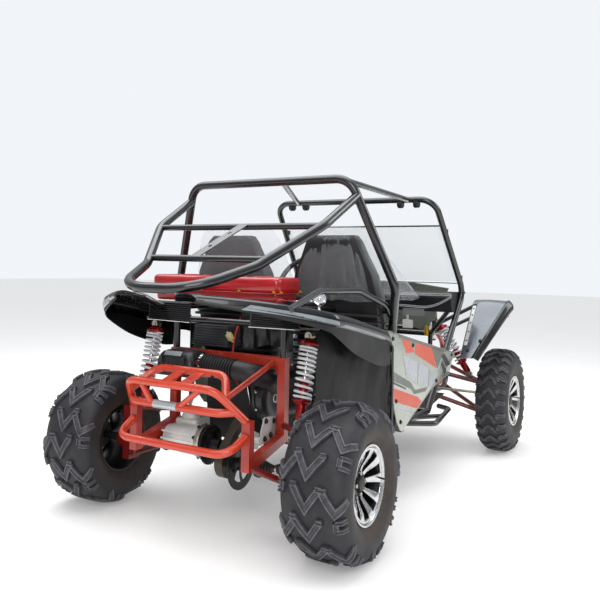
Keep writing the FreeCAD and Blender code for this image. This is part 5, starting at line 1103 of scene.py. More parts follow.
def makeRearFenders(look):
    line = smoothLine(look["stations"], 5)

    def at(x):
        for a, b in zip(line, line[1:]):
            if a[0] <= x <= b[0]:
                t = (x - a[0]) / max(b[0] - a[0], 1e-9)
                return [p + (q - p) * t for p, q in zip(a, b)]
        return list(line[-1])

    grid = []
    for x, inner, outer, z, lip, skirt in line:
        skirt = max(skirt, lip + 0.008)
        width = outer - inner
        row = [(inner + 0.002, -0.022), (inner, -0.008), (inner + 0.006, 0.0)]
        row += [(inner + width * t, 0.007 * math.sin(math.pi * t)) for t in (0.2, 0.4, 0.6, 0.8)]
        row += [(outer - 0.016, 0.001), (outer - 0.007, -0.003), (outer - 0.002, -0.010),
                (outer, -0.020), (outer + 0.001, -lip + 0.004), (outer - 0.001, -lip),
                (outer - 0.006, -lip - 0.003), (outer - 0.007, -lip - 0.010),
                (outer - 0.010, -(lip + skirt) / 2), (outer - 0.012, -skirt)]
        grid.append([Vector((x, -y, z + drop)) for y, drop in row])
    shell = skin(Shape(), [row[:14] for row in grid], look["wall"])
    piece = shell.mirrored().piece("rearFenderShells", "glossBlackAbs")
    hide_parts("rear_fenders")
    # The skirts take the darker matt black, a painted shade below the lip
    skin(Shape(), [row[13:] for row in grid], look["wall"]).mirrored().piece("rearFenderSkirts",
                                                                             "dullShadedBlackSkirt")
    strips = Shape()
    for start, end, top0, low0, top1, low1 in look["strips"]:
        rows = []
        for i in range(25):
            t = i / 24
            x = start + (end - start) * t
            x0, inner, outer, z, lip, skirt = at(x)
            slope = (at(x + 0.004)[2] - at(x - 0.004)[2]) / 0.008
            out = Vector((slope, -1, 0)).normalized() * 0.0012
            pinch = min(1, t / 0.08)
            top, low = top0 + (top1 - top0) * t, low0 + (low1 - low0) * t
            top = low + (top - low) * pinch
            rows.append([Vector((x, -outer - 0.001, z - top)) + out,
                         Vector((x, -outer - 0.001, z - low)) + out])
        skin(strips, rows, 0.0020)
    strips.mirrored().piece("rearFenderStrips", "greyFoilStrip", smooth=False)
    # Bright rubber edging along the inner edge and the screws that hold it
    edging, spots = Shape(), []
    run = [Vector((x, -inner - 0.001, z + 0.004)) for x, inner, outer, z, lip,
           skirt in line if x < -0.56]
    edging.tube(run, 0.0034, 8)
    edging.mirrored().piece("rearFenderEdging", "greyPiping")
    for x in (-1.30, -1.16, -1.02, -0.86, -0.68):
        x0, inner, outer, z, lip, skirt = at(x)
        spots += [((x, side * (inner + 0.022), z + 0.0035), (0, 0, 1)) for side in (-1, 1)]
    scatter("rearFenderScrews", boltShape(0.006, 0.004), spots, "zincPlatedSteel")
    # Splash sheets in front of the rear wheels: thin, creased, and rolled round at their outer edge
    plan = [(-0.7085, 0.318), (-0.640, 0.362), (-0.560, 0.412), (-0.480, 0.464), (-0.425, 0.502),
            (-0.402, 0.520), (-0.396, 0.5275), (-0.402, 0.533), (-0.416, 0.531)]
    plan = smoothLine(plan, 8)
    rows = []
    for i in range(29):
        t = i / 28
        row = []
        for j, (x, y) in enumerate(plan):
            s = j / (len(plan) - 1)
            top = at(min(x, -0.512))[3] - 0.010
            top = top if x < -0.512 else max(0.690, 0.752 - (x + 0.512) * 0.9)
            low = 0.352 - 0.030 * max(0, s - 0.6)
            z = top + (low - top) * t
            free = math.sin(math.pi * min(1, s * 1.25)) if s < 0.8 else 0
            crease = noise.noise((s * 7.0, t * 1.3, 2.0)) * 0.012 \
                + (0.5 - abs(noise.noise((s * 17.0 + t * 2.0, t * 1.1, 5.0)))) * 0.010
            push = crease * free * (0.25 + 0.75 * math.sin(math.pi * min(1, 0.1 + t)))
            row.append(Vector((x - push * 0.83, -(y + push * 0.55), z)))
        rows.append(row)
    skin(Shape(), rows, 0.002).mirrored().piece("splashSheets", "blackSplashSheet")
    # Louvred inner panels under the fenders, with a bright lower edge
    louvre = Shape().prism([(-0.9515, -0.365, 0), (-0.9515, -0.150, 0), (-0.9455, -0.150, 0.0055),
                            (-0.9455, -0.365, 0.0055)], (0.0018, 0, -0.0012))
    slats = Shape()
    for i in range(9):
        rise = Vector((0, 0, 0.797 + 0.0085 * i))
        slats.put([v + rise for v in louvre.vertices], louvre.faces)
    slats.block((-0.9450, -0.368, 0.786), (-0.9420, -0.146, 0.872))
    slats.mirrored().piece("louvredPanels", "grainedBlackAbs")
    trim = Shape().tube([(-0.951, -0.370, 0.7905), (-0.951, -0.145, 0.7885)], 0.0022, 8)
    trim.mirrored().piece("louvredPanelEdges", "brightChrome")


makeRearFenders(rearFenderLook)

# Front fenders: x, z and outer y along the sheet's middle line, from the low rear end over the top
frontFenderLook = {
    "stations": [(0.6265, 0.552, 0.612), (0.700, 0.637, 0.646), (0.780, 0.729, 0.684),
                 (0.850, 0.806, 0.716), (0.884, 0.838, 0.728), (0.912, 0.853, 0.732),
                 (0.950, 0.855, 0.726), (1.010, 0.842, 0.706), (1.100, 0.819, 0.676),
                 (1.190, 0.797, 0.650), (1.250, 0.782, 0.634)],
    "inner": 0.515, "lip": 0.032, "drop": 0.044,
}


def makeFrontFenders(look):
    line = smoothLine(look["stations"], 4)
    face, lip, strip = [], [], []
    for i, (x, z, outer) in enumerate(line):
        a, b = line[max(i - 1, 0)], line[min(i + 1, len(line) - 1)]
        along = Vector((b[0] - a[0], 0, b[1] - a[1])).normalized()
        normal = Vector((-along.z, 0, along.x))
        middle = Vector((x, 0, z))
        edge = outer - look["lip"]

        def spot(y, lift):
            return middle + normal * lift + Vector((0, -y, 0))

        width = edge - look["inner"]
        face.append([spot(look["inner"] + 0.001, -0.022), spot(look["inner"], -0.004),
                     spot(look["inner"] + 0.005, 0)]
                    + [spot(look["inner"] + width * t, 0.004 * math.sin(math.pi * t))
                       for t in (0.25, 0.5, 0.75)] + [spot(edge, 0.0)])
        drop = look["drop"] * (0.45 + 0.55 * min(1, i / 14))
        lip.append([spot(edge - 0.004, 0.0015), spot(edge + 0.003, 0.0045),
                    spot(edge + 0.010, 0.0040),
                    spot(outer - 0.012, -0.006), spot(outer - 0.004, -0.016),
                    spot(outer, -drop * 0.7), spot(outer, -drop)])
        strip.append([spot(look["inner"] + 0.008, 0.0030), spot(look["inner"] + 0.026, 0.0042)])
    shell = skin(Shape(), face, 0.004)
    piece = shell.mirrored().piece("frontFenderFaces", "greyPaintedAbs")
    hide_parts("front_fenders")
    skin(Shape(), lip, 0.004).mirrored().piece("frontFenderLips", "glossBlackAbs")
    # A perforated primed bracket along the inner edge, and the low screw
    skin(Shape(), strip[3:17], 0.0020).mirrored().piece("frontFenderBrackets", "whitePrimedSteel",
                                                        smooth=False)
    holes, screws = [], []
    for i in (4, 6, 8, 10, 12, 14):
        middle = (strip[i][0] + strip[i][1]) / 2
        down = (strip[i + 1][0] - strip[i - 1][0]).normalized()
        out = Vector((-down.z, 0, down.x))
        for side in (1, -1):
            holes.append((Vector((middle.x, middle.y * side, middle.z)) + out * 0.0004, out))
    scatter("frontBracketHoles",
            Shape().lathe([(0, 0.0001), (0, 0.0048), (0.0006, 0.0048), (0.0006, 0.0001)],
                          (0, 0, 0), (0, 0, 1), 14), holes, "darkCastIron")
    for x, z, y in ((0.655, 0.587, 0.550), (0.700, 0.640, 0.606)):
        for side in (1, -1):
            screws.append(((x - 0.002, y * side, z + 0.003), (-0.75, 0, 0.66)))
    scatter("frontFenderScrews", boltShape(0.0065, 0.005), screws, "darkCastIron")


makeFrontFenders(frontFenderLook)
print("panels and fenders")

# Fuel tank: two pressed halves with a seam flange, and a chromed cap on a stem
tankLook = {"x": (-0.768, -0.562), "y": (-0.170, 0.504), "z": (0.864, 0.912, 0.980), "inset": 0.014}


def roundedRing(x0, x1, y0, y1, shrink, corner, z):
    # One flat rectangle with rounded corners, drawn in by the shrink on every side
    ring = []
    for cx, cy, first in ((x1 - shrink - corner, y1 - shrink - corner, 0),
                          (x0 + shrink + corner, y1 - shrink - corner, 1),
                          (x0 + shrink + corner, y0 + shrink + corner, 2),
                          (x1 - shrink - corner, y0 + shrink + corner, 3)):
        for j in range(7):
            angle = math.pi / 2 * (first + j / 6)
            ring.append(Vector((cx + corner * math.cos(angle), cy + corner * math.sin(angle), z)))
    return ring


def roundedBox(low, high, radius, steps=5):
    # Rounded plan with softened top and bottom edges, as rings from bottom to top
    (x0, y0, z0), (x1, y1, z1) = low, high
    rings = []
    for i in range(2 * steps + 2):
        if i <= steps:
            t = math.pi / 2 * i / steps
            shrink, z = radius * (1 - math.sin(t)), z0 + radius * (1 - math.cos(t))
        else:
            t = math.pi / 2 * (i - steps - 1) / steps
            shrink, z = radius * (1 - math.cos(t)), z1 - radius * (1 - math.sin(t))
        corner = max(radius * 1.4 - shrink * 0.6, radius * 0.5)
        rings.append(roundedRing(x0, x1, y0, y1, shrink, corner, z))
    return rings


def makeTank(look):
    (x0, x1), (y0, y1), (z0, seam, z1), inset = look["x"], look["y"], look["z"], look["inset"]
    tank = Shape().rings(roundedBox((x0, y0, seam + 0.002), (x1, y1, z1), 0.018))
    tank.rings(roundedBox((x0 + inset, y0 + inset, z0), (x1 - inset, y1 - inset, seam + 0.010),
                          0.012))
    tank.rings(roundedBox((x0 - 0.003, y0 - 0.003, seam - 0.0015),
                          (x1 + 0.003, y1 + 0.003, seam + 0.0035), 0.0022))
    piece = tank.piece("fuelTank", "redTankEnamel")
    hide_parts("fuel_tank")
    # Pressed stiffening ribs across the top
    ribs = Shape()
    for i in range(4):
        y = y0 + (y1 - y0) * (0.2 + 0.2 * i)
        ribs.rings(roundedBox((x0 + 0.035, y - 0.010, z1 - 0.006),
                              (x1 - 0.035, y + 0.010, z1 + 0.003), 0.0040, 3))
    ribs.piece("fuelTankRibs", "redTankEnamel")
    neck = Shape().tube(curvePoints([(-0.700, y0 + 0.030, 0.888), (-0.712, y0 - 0.050, 0.880),
                                     (-0.730, -0.335, 0.886)], 0.03, 6), 0.0085, 14)
    neck.piece("fillerNeck", "brightChrome")
    aim = Vector((-0.72, -0.52, 0.46)).normalized()
    place = Vector((-0.727, -0.338, 0.896))
    cap = Shape().lathe([(-0.012, 0.001), (-0.012, 0.014), (-0.004, 0.016), (0.000, 0.0270),
                         (0.003, 0.0292), (0.009, 0.0292), (0.0125, 0.0268), (0.0135, 0.0225),
                         (0.0115, 0.0200), (0.0115, 0.0080), (0.0140, 0.0060),
                         (0.0150, 0.001)], place, aim, 40)
    cap.piece("fillerCap", "brightChrome")
    stem = Shape().lathe([(0, 0.001), (0, 0.0100), (0.004, 0.0075), (0.040, 0.0068),
                          (0.046, 0.0080), (0.046, 0.001)],
                         (-0.727, -0.338, 0.842), (0, 0, 1), 20)
    stem.piece("fillerStem", "brightChrome")
    scatter("tankFlangeBolts", boltShape(0.0065, 0.006),
            [((x, y0 - 0.003 if end else y, seam + 0.004), (0, 0, 1))
             for end, x, y in ((1, -0.75, 0), (1, -0.58, 0))]
            + [((x0 - 0.002, y, seam + 0.004), (0, 0, 1)) for y in (-0.15, 0.02, 0.22, 0.48)],
            "yellowAnodised")


makeTank(tankLook)

# Air box: a tapered moulding on a flanged foot, with a pressed lid, clips and a blank label
airBoxLook = {"x": (-1.044, -0.898), "y": (0.064, 0.246), "z": (0.580, 0.676)}


def makeAirBox(look):
    (x0, x1), (y0, y1), (z0, z1) = look["x"], look["y"], look["z"]
    box = Shape().rings([roundedRing(x0, x1, y0, y1, shrink, corner, z) for z, shrink, corner in (
        (z0, -0.010, 0.016), (z0 + 0.008, -0.010, 0.016), (z0 + 0.012, -0.001, 0.020),
        (z0 + 0.040, 0.0, 0.022), (z0 + 0.058, 0.001, 0.022), (z0 + 0.064, 0.004, 0.022),
        (z1 - 0.018, 0.008, 0.024), (z1 - 0.006, 0.017, 0.022), (z1, 0.030, 0.020))])
    # Strengthening ribs down the rear face
    for i in range(7):
        y = y0 + 0.022 + i * 0.023
        box.prism([(x0 - 0.001, y, z0 + 0.014), (x0 - 0.006, y, z0 + 0.014),
                   (x0 - 0.003, y, z0 + 0.052), (x0 + 0.002, y, z0 + 0.052)], (0, 0.003, 0))
    for y in (y0 + 0.03, y1 - 0.04):
        box.block((x0 - 0.006, y, z0 + 0.048), (x0 + 0.004, y + 0.016, z0 + 0.074))
    piece = box.piece("airBox", "blackAirBoxPlastic")
    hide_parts("air_box")
    label = Shape().put([(-1.0375, 0.120, 0.6580), (-1.0375, 0.205, 0.6580),
                         (-1.0245, 0.205, 0.6742), (-1.0245, 0.120, 0.6742)], [[0, 1, 2, 3]])
    label.put([(-1.0395, 0.120, 0.6595), (-1.0395, 0.205, 0.6595), (-1.0260, 0.205, 0.6758),
               (-1.0260, 0.120, 0.6758)], [[0, 1, 2, 3]])
    label.piece("airBoxLabel", "blankLabel", smooth=False)


makeAirBox(airBoxLook)


def makeIntake():
    hose = Shape()
    start, end = Vector((-0.970, 0.060, 0.630)), Vector((-0.968, -0.104, 0.618))
    way = (end - start).normalized()
    length = (end - start).length
    profile = [(0, 0.020), (0, 0.0375)]
    for i in range(12):
        y = 0.012 + i * 0.0124
        profile += [(y, 0.0350), (y + 0.0032, 0.0412), (y + 0.0066, 0.0418), (y + 0.0096, 0.0355)]
    profile += [(length - 0.002, 0.0360), (length, 0.0390), (length, 0.020)]
    hose.lathe(profile, start, way, 40)
    pipe = curvePoints([(-0.968, -0.100, 0.618), (-0.966, -0.176, 0.612), (-0.900, -0.196, 0.585),
                        (-0.815, -0.180, 0.545)], 0.05, 8)
    hose.tube(pipe, 0.0385, 32)
    piece = hose.piece("intakeHose", "blackRubber")
    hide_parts("intake_hose")
    clamp = Shape().lathe([(0.002, 0.0360), (0.002, 0.0425), (0.012, 0.0425), (0.012, 0.0360)],
                          start, way, 40)
    clamp.block((-1.018, 0.046, 0.628), (-1.006, 0.060, 0.646))
    clamp.piece("intakeClamp", "brightChrome")


makeIntake()

# Final drive: cast housing with a stepped end, a bolted flange, a dome and the chain sprocket
driveLook = {"centre": (-0.986, 0.0, 0.325)}


def makeFinalDrive(look):
    centre = Vector(look["centre"])
    housing = Shape().lathe([(0.040, 0.004), (0.040, 0.061), (0.052, 0.0625), (0.060, 0.059),
                             (0.130, 0.058), (0.150, 0.0565), (0.154, 0.052), (0.186, 0.0515),
                             (0.194, 0.047), (0.206, 0.046), (0.209, 0.004)], centre, (0, 1, 0), 56)
    for i in range(3):
        # Shallow ribs along the casting
        angle = math.radians(150 + i * 28)
        out = Vector((math.cos(angle), 0, math.sin(angle)))
        side = Vector((-math.sin(angle), 0, math.cos(angle)))
        a, b = centre + out * 0.054 + Vector((0, 0.060,
                                              0)), centre + out * 0.054 + Vector((0, 0.205, 0))
        housing.prism([a - side * 0.004, a + side * 0.004, a + side * 0.003 + out * 0.009,
                       a - side * 0.003 + out * 0.009], b - a)
    housing.rings(roundedBox((-0.985, 0.075, 0.340), (-0.875, 0.185, 0.402), 0.012))
    housing.lathe([(0, 0.004), (0, 0.040), (0.010, 0.0385), (0.024, 0.031), (0.034, 0.018),
                   (0.038, 0.004)],
                  (-0.940, 0.132, 0.400), (-0.25, 0, 1), 36)
    piece = housing.piece("driveHousing", "castAluminium")
    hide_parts("final_drive")
    flange = Shape().lathe([(0.018, 0.004), (0.018, 0.064), (0.022, 0.0675), (0.036, 0.0675),
                            (0.040, 0.064), (0.040, 0.004)], centre, (0, 1, 0), 56)
    flange.piece("driveFlange", "zincPlatedSteel")
    bolts = []
    for i in range(8):
        angle = 2 * math.pi * (i + 0.5) / 8
        bolts.append((centre + Vector((0.0575 * math.cos(angle), 0.0175,
                                       0.0575 * math.sin(angle))), (0, -1, 0)))
        bolts.append((centre + Vector((0.0640 * math.cos(angle), 0.0405,
                                       0.0640 * math.sin(angle))), (0, 1, 0)))
    scatter("driveFlangeBolts", boltShape(0.0048, 0.006), bolts, "darkCastIron")
    teeth, count = [], 34
    for i in range(count * 4):
        angle = 2 * math.pi * i / (count * 4)
        r = (0.0715, 0.0770, 0.0770, 0.0715)[i % 4]
        teeth.append(Vector((centre.x + r * math.cos(angle), -0.004,
                             centre.z - 0.008 + r * math.sin(angle))))
    sprocket = Shape().prism(teeth, (0, 0.007, 0))
    sprocket.lathe([(0.002, 0.0560), (0.002, 0.0650), (0.016, 0.0640), (0.016, 0.020)], centre,
                   (0, 1, 0), 40)
    sprocket.lathe([(-0.050, 0.004), (-0.050, 0.026), (-0.012, 0.030), (-0.006, 0.048),
                    (-0.004, 0.048), (-0.004, 0.004)],
                   centre - Vector((0, 0, 0.008)), (0, 1, 0), 36)
    sprocket.piece("chainSprocket", "blackenedSteel")


makeFinalDrive(driveLook)


# Drive shaft boots: ribbed rubber cones on the leaning shafts, turning with them
shaftLines = {"left": (Vector((rearAxle, 0.205, 0.300)), Vector((0, 0.990593, -0.136839))),
              "right": (Vector((rearAxle, -0.200, 0.262)), Vector((0, -0.996197, 0.087131)))}


def makeBoots():
    for label, (joint, out) in shaftLines.items():
        low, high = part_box("half_shaft_" + label)
        length = (high[1] - low[1]) / abs(out.y)
        boot = Shape()
        for start, way, first in ((0.012, 1, 0.036), (length - 0.040, -1, 0.034)):
            profile = [(0, 0.012), (0, first)]
            for i in range(6):
                r = first - i * 0.0042
                profile += [(0.006 + i * 0.011, r), (0.0095 + i * 0.011, r + 0.0022),
                            (0.013 + i * 0.011, r - 0.0035)]
            profile += [(0.078, 0.0135), (0.084, 0.0135), (0.084, 0.010)]
            boot.lathe(profile, joint + out * start, out * way, 28)
        boot.piece("shaftBoots_" + label, "blackRubber", "half_shaft_" + label)


makeBoots()

# Brake disc: blackened ring on six spokes, with its caliper on a pale mounting plate
discLook = {"centre": (-0.9785, -0.141, 0.262), "outer": 0.096, "inner": 0.066, "hub": 0.026,
            "bore": 0.0115}


def makeBrakeDisc(look):
    centre = Vector(look["centre"])
    disc = Shape()
    for outer, inner in ((look["outer"], look["inner"]), (look["hub"], look["bore"])):
        disc.hoop([(-0.0025, inner), (-0.0025, outer - 0.001), (-0.0015, outer), (0.0015, outer),
                   (0.0025, outer - 0.001), (0.0025, inner)], centre)
    for i in range(6):
        angle, sweep = 2 * math.pi * i / 6 + 0.3, 0.35
        row = []
        for r, turn, half in ((0.020, 0, 0.0070), (0.042, sweep * 0.4, 0.0052),
                              (0.069, sweep, 0.0080)):
            out = Vector((math.cos(angle + turn), 0, math.sin(angle + turn)))
            across = Vector((-out.z, 0, out.x)) * half
            spot = centre + out * r
            row.append([spot - across + Vector((0, -0.0022, 0)),
                        spot + across + Vector((0, -0.0022, 0)),
                        spot + across + Vector((0, 0.0022, 0)),
                        spot - across + Vector((0, 0.0022, 0))])
        disc.rings(row)
    disc.lathe([(-0.052, 0.0125), (-0.052, 0.0215), (-0.020, 0.0225), (-0.003, 0.0265),
                (0.003, 0.0265), (0.020, 0.0225), (0.046, 0.0215),
                (0.046, 0.0125)], centre, (0, 1, 0), 32)
    piece = disc.piece("brakeDisc", "blackenedSteel")
    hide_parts("brake_disc")
    holes = [(centre + Vector((0.081 * math.cos(a), -0.0026, 0.081 * math.sin(a))), (0, -1, 0))
             for a in turns(18)]
    scatter("brakeDiscHoles",
            Shape().lathe([(0, 0.0001), (0, 0.0042), (0.0004, 0.0042), (0.0004, 0.0001)],
                          (0, 0, 0), (0, 0, 1), 12), holes, "darkCastIron")
    caliper = Shape().prism([(-0.960, 0, 0.322), (-0.900, 0, 0.306), (-0.884, 0, 0.330),
                             (-0.886, 0, 0.366), (-0.930, 0, 0.384),
                             (-0.964, 0, 0.364)], (0, 0.050, 0))
    caliper.move(Matrix.Translation((0, -0.166, 0)))
    caliper.lathe([(-0.030, 0.001), (-0.030, 0.017), (-0.006, 0.018), (0.004, 0.018),
                   (0.004, 0.001)],
                  (-0.922, -0.166, 0.346), (0, 1, 0), 28)
    caliper.piece("brakeCaliper", "castAluminium", bevelMm=2.5)
    plate = Shape().prism([(-0.996, -0.240, 0.352), (-0.900, -0.240, 0.366),
                           (-0.884, -0.240, 0.404), (-0.892, -0.240, 0.446),
                           (-0.975, -0.240, 0.452), (-1.000, -0.240, 0.400)], (0, 0.004, 0))
    plate.piece("caliperPlate", "whitePrimedSteel", bevelMm=1)
    scatter("caliperBolts", boltShape(0.0075, 0.007),
            [((-0.972, -0.2402, 0.372), (0, -1, 0)), ((-0.930, -0.2402, 0.380), (0, -1, 0)),
             ((-0.905, -0.2402, 0.430), (0, -1, 0)), ((-0.965, -0.2402, 0.438), (0, -1, 0))],
             "darkCastIron")


makeBrakeDisc(discLook)


def makeDriveCover():
    # Belt drive cover with a ribbed rim, one blank boss ring and a bright strap
    cover = Shape()
    outline = []
    for cx, cz, r, a0, a1 in ((-0.640, 0.505, 0.104, -100, 80), (-0.830, 0.505, 0.092, 80, 260)):
        for j in range(25):
            angle = math.radians(a0 + (a1 - a0) * j / 24)
            outline.append((cx + r * math.cos(angle), cz + r * math.sin(angle)))
    middle = Vector((-0.735, 0, 0.505))
    rings = []
    for y, grow in ((-0.148, 1.0), (-0.158, 1.0), (-0.160, 0.965), (-0.186, 0.955), (-0.196, 0.90),
                    (-0.200, 0.80), (-0.2005, 0.55), (-0.198, 0.50)):
        rings.append([Vector((middle.x + (x - middle.x) * grow, y,
                              middle.z + (z - middle.z) * grow))
                      for x, z in outline])
    cover.rings(rings)
    piece = cover.piece("beltCover", "blackAirBoxPlastic")
    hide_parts("engine_cover")
    ring = Shape().hoop([(-0.197, 0.013), (-0.203, 0.0135), (-0.203, 0.0175), (-0.197, 0.0185)],
                        (-0.828, 0, 0.500), steps=36)
    ring.piece("coverBossRing", "castAluminium")
    strap = Shape().prism([(-0.905, -0.118, 0.545), (-0.889, -0.118, 0.552),
                           (-0.868, -0.118, 0.482), (-0.884, -0.118, 0.475)], (0, 0.004, 0))
    strap.piece("coverStrap", "brightChrome", bevelMm=0.6)
    scatter("coverScrews", boltShape(0.0058, 0.006, 1.3),
            [((middle.x + (x - middle.x) * 0.98, -0.1595, middle.z + (z - middle.z) * 0.98),
              (0, -1, 0))
             for x, z in outline[::6]], "zincPlatedSteel")


makeDriveCover()


def makeShroud():
    # Ribbed cooling shroud above the engine, and dark folded covers beside it
    shroud = Shape().block((-0.850, 0.020, 0.686), (-0.760, 0.190, 0.772))
    for i in range(8):
        z = 0.690 + i * 0.0105
        lean = 0.0022 * i
        shroud.prism([(-0.862, 0.012 + lean, z), (-0.750, 0.012 + lean, z),
                      (-0.750, 0.200 - lean, z), (-0.862, 0.200 - lean, z)], (0, 0, 0.0034))
    shroud.piece("coolingShroud", "darkRibbedAluminium", bevelMm=0.5)
    rows = []
    for i in range(17):
        t = i / 16
        z = 0.880 - 0.185 * t
        rows.append([Vector((-0.800 + 0.010 * math.sin(y * 95 + 2 * t) * (0.3 + t)
                             + 0.012 * noise.noise((y * 12, t * 2, 1)),
                             y, z + 0.012 * math.sin(y * 30) * t))
                             for y in [-0.26 + 0.012 * j for j in range(22)]])
    skin(Shape(), rows, 0.0018).piece("foldedHeatCover", "blackSplashSheet")


makeShroud()


def makeHose(name, points, diameter, finish):
    data = bpy.data.curves.new(name, "CURVE")
    data.dimensions = "3D"
    data.bevel_depth, data.bevel_resolution, data.use_fill_caps = diameter / 2, 4, True
    spline = data.splines.new("NURBS")
    spline.points.add(len(points) - 1)
    for point, place in zip(spline.points, points):
        point.co = (*place, 1.0)
    spline.order_u = 3
    spline.use_endpoint_u = True
    spline.resolution_u = 12
    data.materials.append(paint[finish])
    hose = bpy.data.objects.new(name, data)
    scene.collection.objects.link(hose)
    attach(hose, "chassis")
    bare = data.copy()
    bare.bevel_depth = 0
    holder = bpy.data.objects.new("measure", bare)
    scene.collection.objects.link(holder)
    line = evaluated(holder)
    bpy.data.objects.remove(holder)


# The in-line fuel filter beside the red hose, and the hoses the photograph shows from end to end
filterBody = Shape().lathe([(0, 0.001), (0, 0.0050), (0.006, 0.0055), (0.008, 0.0125),
                            (0.014, 0.0145), (0.034, 0.0145), (0.040, 0.0115), (0.042, 0.0055),
                            (0.050, 0.0050), (0.050, 0.001)],
                           (-0.862, 0.0155, 0.752), (0.42, -0.30, -0.86), 28)
filterBody.piece("fuelFilter", "paleYellowNylon")
makeHose("fuelHose", [(-0.772, -0.010, 0.868), (-0.782, -0.008, 0.835), (-0.795, -0.004, 0.795),
                      (-0.824, 0.000, 0.742), (-0.838, 0.001, 0.690), (-0.836, 0.001, 0.640),
                      (-0.826, 0.000, 0.590), (-0.812, -0.002, 0.550), (-0.796, -0.006, 0.520),
                      (-0.780, -0.010, 0.505)],
         0.009, "redSilicone")

# Bolts of the rack tabs and a blank sleeve where the photograph has a label
scatter("rackTabBolts", boltShape(0.0085, 0.006, 1.2),
        [((-1.107, 0.016, 0.619), (-0.26, 0, 0.97)), ((-1.136, -0.109, 0.6125), (-0.26, 0, 0.97))],
        "darkCastIron")
sleeve = Shape().lathe([(0, 0.0150), (0, 0.0157), (0.110, 0.0157), (0.110, 0.0150)],
                       (-1.2245, 0.095, 0.502), (0, -1, 0), 32)
sleeve.piece("bumperSleeve", "blankLabel")
print("engine bay")

# Dash: a piped glove box outline each side, louvres below it and a relay box hanging under the edge
dashLook = {"face": 0.5255,
            "piping": [(-0.185, 0.892), (-0.496, 0.897), (-0.498, 0.878), (-0.430, 0.836),
                       (-0.362, 0.815), (-0.185, 0.822)], "slats": (-0.230, -0.350, 0.773, 0.806)}


def makeDash(look):
    piping = Shape()
    for lift in (0.0, 0.0085):
        line = [(look["face"], y, z - lift if i in (0, 1) else z + lift * 0.9)
                for i, (y, z) in enumerate(look["piping"])]
        piping.tube(curvePoints(line, 0.035, 6), 0.0024, 8)
    piping.mirrored().piece("dashPiping", "greyPiping")
    y0, y1, z0, z1 = look["slats"]
    # The louvres are pale piping grey, which paints the highlights along their edges onto the slats
    slats = Shape()
    for i in range(6):
        z = z0 + (z1 - z0) * i / 5
        slats.prism([(look["face"], y0, z), (look["face"], y1, z),
                     (look["face"] - 0.006, y1, z + 0.0042),
                     (look["face"] - 0.006, y0, z + 0.0042)], (0, 0, -0.0012))
    slats.mirrored().piece("dashLouvres", "greyPiping", smooth=False)
    relay = Shape().block((0.530, -0.277, 0.700), (0.556, -0.226, 0.746))
    relay.block((0.538, -0.258, 0.740), (0.541, -0.244, 0.776))
    for i in range(4):
        relay.block((0.5285, -0.275, 0.704 + i * 0.0115), (0.5302, -0.228, 0.7075 + i * 0.0115))
    relay.piece("relayBox", "whitePrimedSteel", bevelMm=0.8)
    knobs = [((look["face"] + 0.002, y, 0.862), (-1, 0, 0.1)) for y in (-0.06, 0.0, 0.06)]
    scatter("dashSwitches",
            Shape().lathe([(0, 0.001), (0, 0.014), (0.003, 0.014), (0.004, 0.009), (0.014, 0.008),
                           (0.016, 0.006), (0.016, 0.001)], (0, 0, 0), (0, 0, 1), 24),
            knobs, "blackRubber")


makeDash(dashLook)

# Screen: black rubber channel round the acrylic, a bright bead along its foot and four clamps
screenLook = {"top": (0.441, 0.482, 1.260), "foot": (0.692, 0.507, 0.953)}


def makeScreenTrim(look):
    (xt, yt, zt), (xf, yf, zf) = look["top"], look["foot"]
    corners = [(xf, -yf, zf), (xt, -yt, zt), (xt, yt, zt), (xf, yf, zf)]
    channel = Shape()
    for a, b in zip(corners, corners[1:]):
        channel.tube([Vector(a) + (Vector(b) - Vector(a)) * t / 8 for t in range(9)], 0.0042, 8)
    channel.piece("screenChannel", "blackRubber")
    Shape().tube([(xf - 0.002, yf * t, zf + 0.002) for t in (-1, -0.5, 0, 0.5, 1)], 0.0046,
                 10).piece(
                 "screenBead", "brightChrome")
    clamps, knobs = Shape(), []
    for t in (0.10, 0.90):
        x, y, z = [p + (q - p) * t for p, q in zip(look["top"], look["foot"])]
        clamps.block((x - 0.016, -y - 0.010, z - 0.012), (x + 0.012, -y + 0.018, z + 0.014))
        knobs += [((x - 0.015, side * (y - 0.004), z), (-1, 0, 0)) for side in (1, -1)]
    clamps.mirrored().piece("screenClamps", "blackRubber", bevelMm=2)
    scatter("screenClampBolts", boltShape(0.006, 0.005, 1.3), knobs, "zincPlatedSteel")


makeScreenTrim(screenLook)

# Clear lenses before the lamps, with a fluted pattern and a bright bezel
lampLow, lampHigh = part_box("headlamps")
lampZ, lampR = (lampLow[2] + lampHigh[2]) / 2, (lampHigh[2] - lampLow[2]) / 2
lens, bezel = Shape(), Shape()
for side in (1, -1):
    spot = (lampHigh[0], side * (lampHigh[1] - lampR), lampZ)
    lens.lathe([(-0.003, 0.001), (-0.003, lampR * 0.86), (0.001, lampR * 0.84),
                (0.005, lampR * 0.6), (0.007, lampR * 0.3), (0.0075, 0.001)], spot, (1, 0, 0), 40)
    bezel.rings([[Vector((spot[0] + x, spot[1] + r * math.cos(t), spot[2] + r * math.sin(t)))
                  for t in turns(48)]
                 for x, r in ((-0.006, lampR * 0.85), (0.002, lampR * 0.86), (0.003, lampR * 0.93),
                              (-0.002, lampR), (-0.010, lampR))], closeLoop=True)
lens.piece("lampLenses", "lampGlass")
bezel.piece("lampBezels", "brightChrome")

# Clamps of the roof bars on the front hoop
clamp = Shape()
for y in (0.284, 0.372):
    clamp.lathe([(-0.013, 0.004), (-0.013, 0.0225), (-0.010, 0.0245), (0.010, 0.0245),
                 (0.013, 0.0225), (0.013, 0.004)],
                (0.325, y, 1.374), (0, 1, 0), 28)
clamp.mirrored().piece("roofClamps", "darkCastIron")

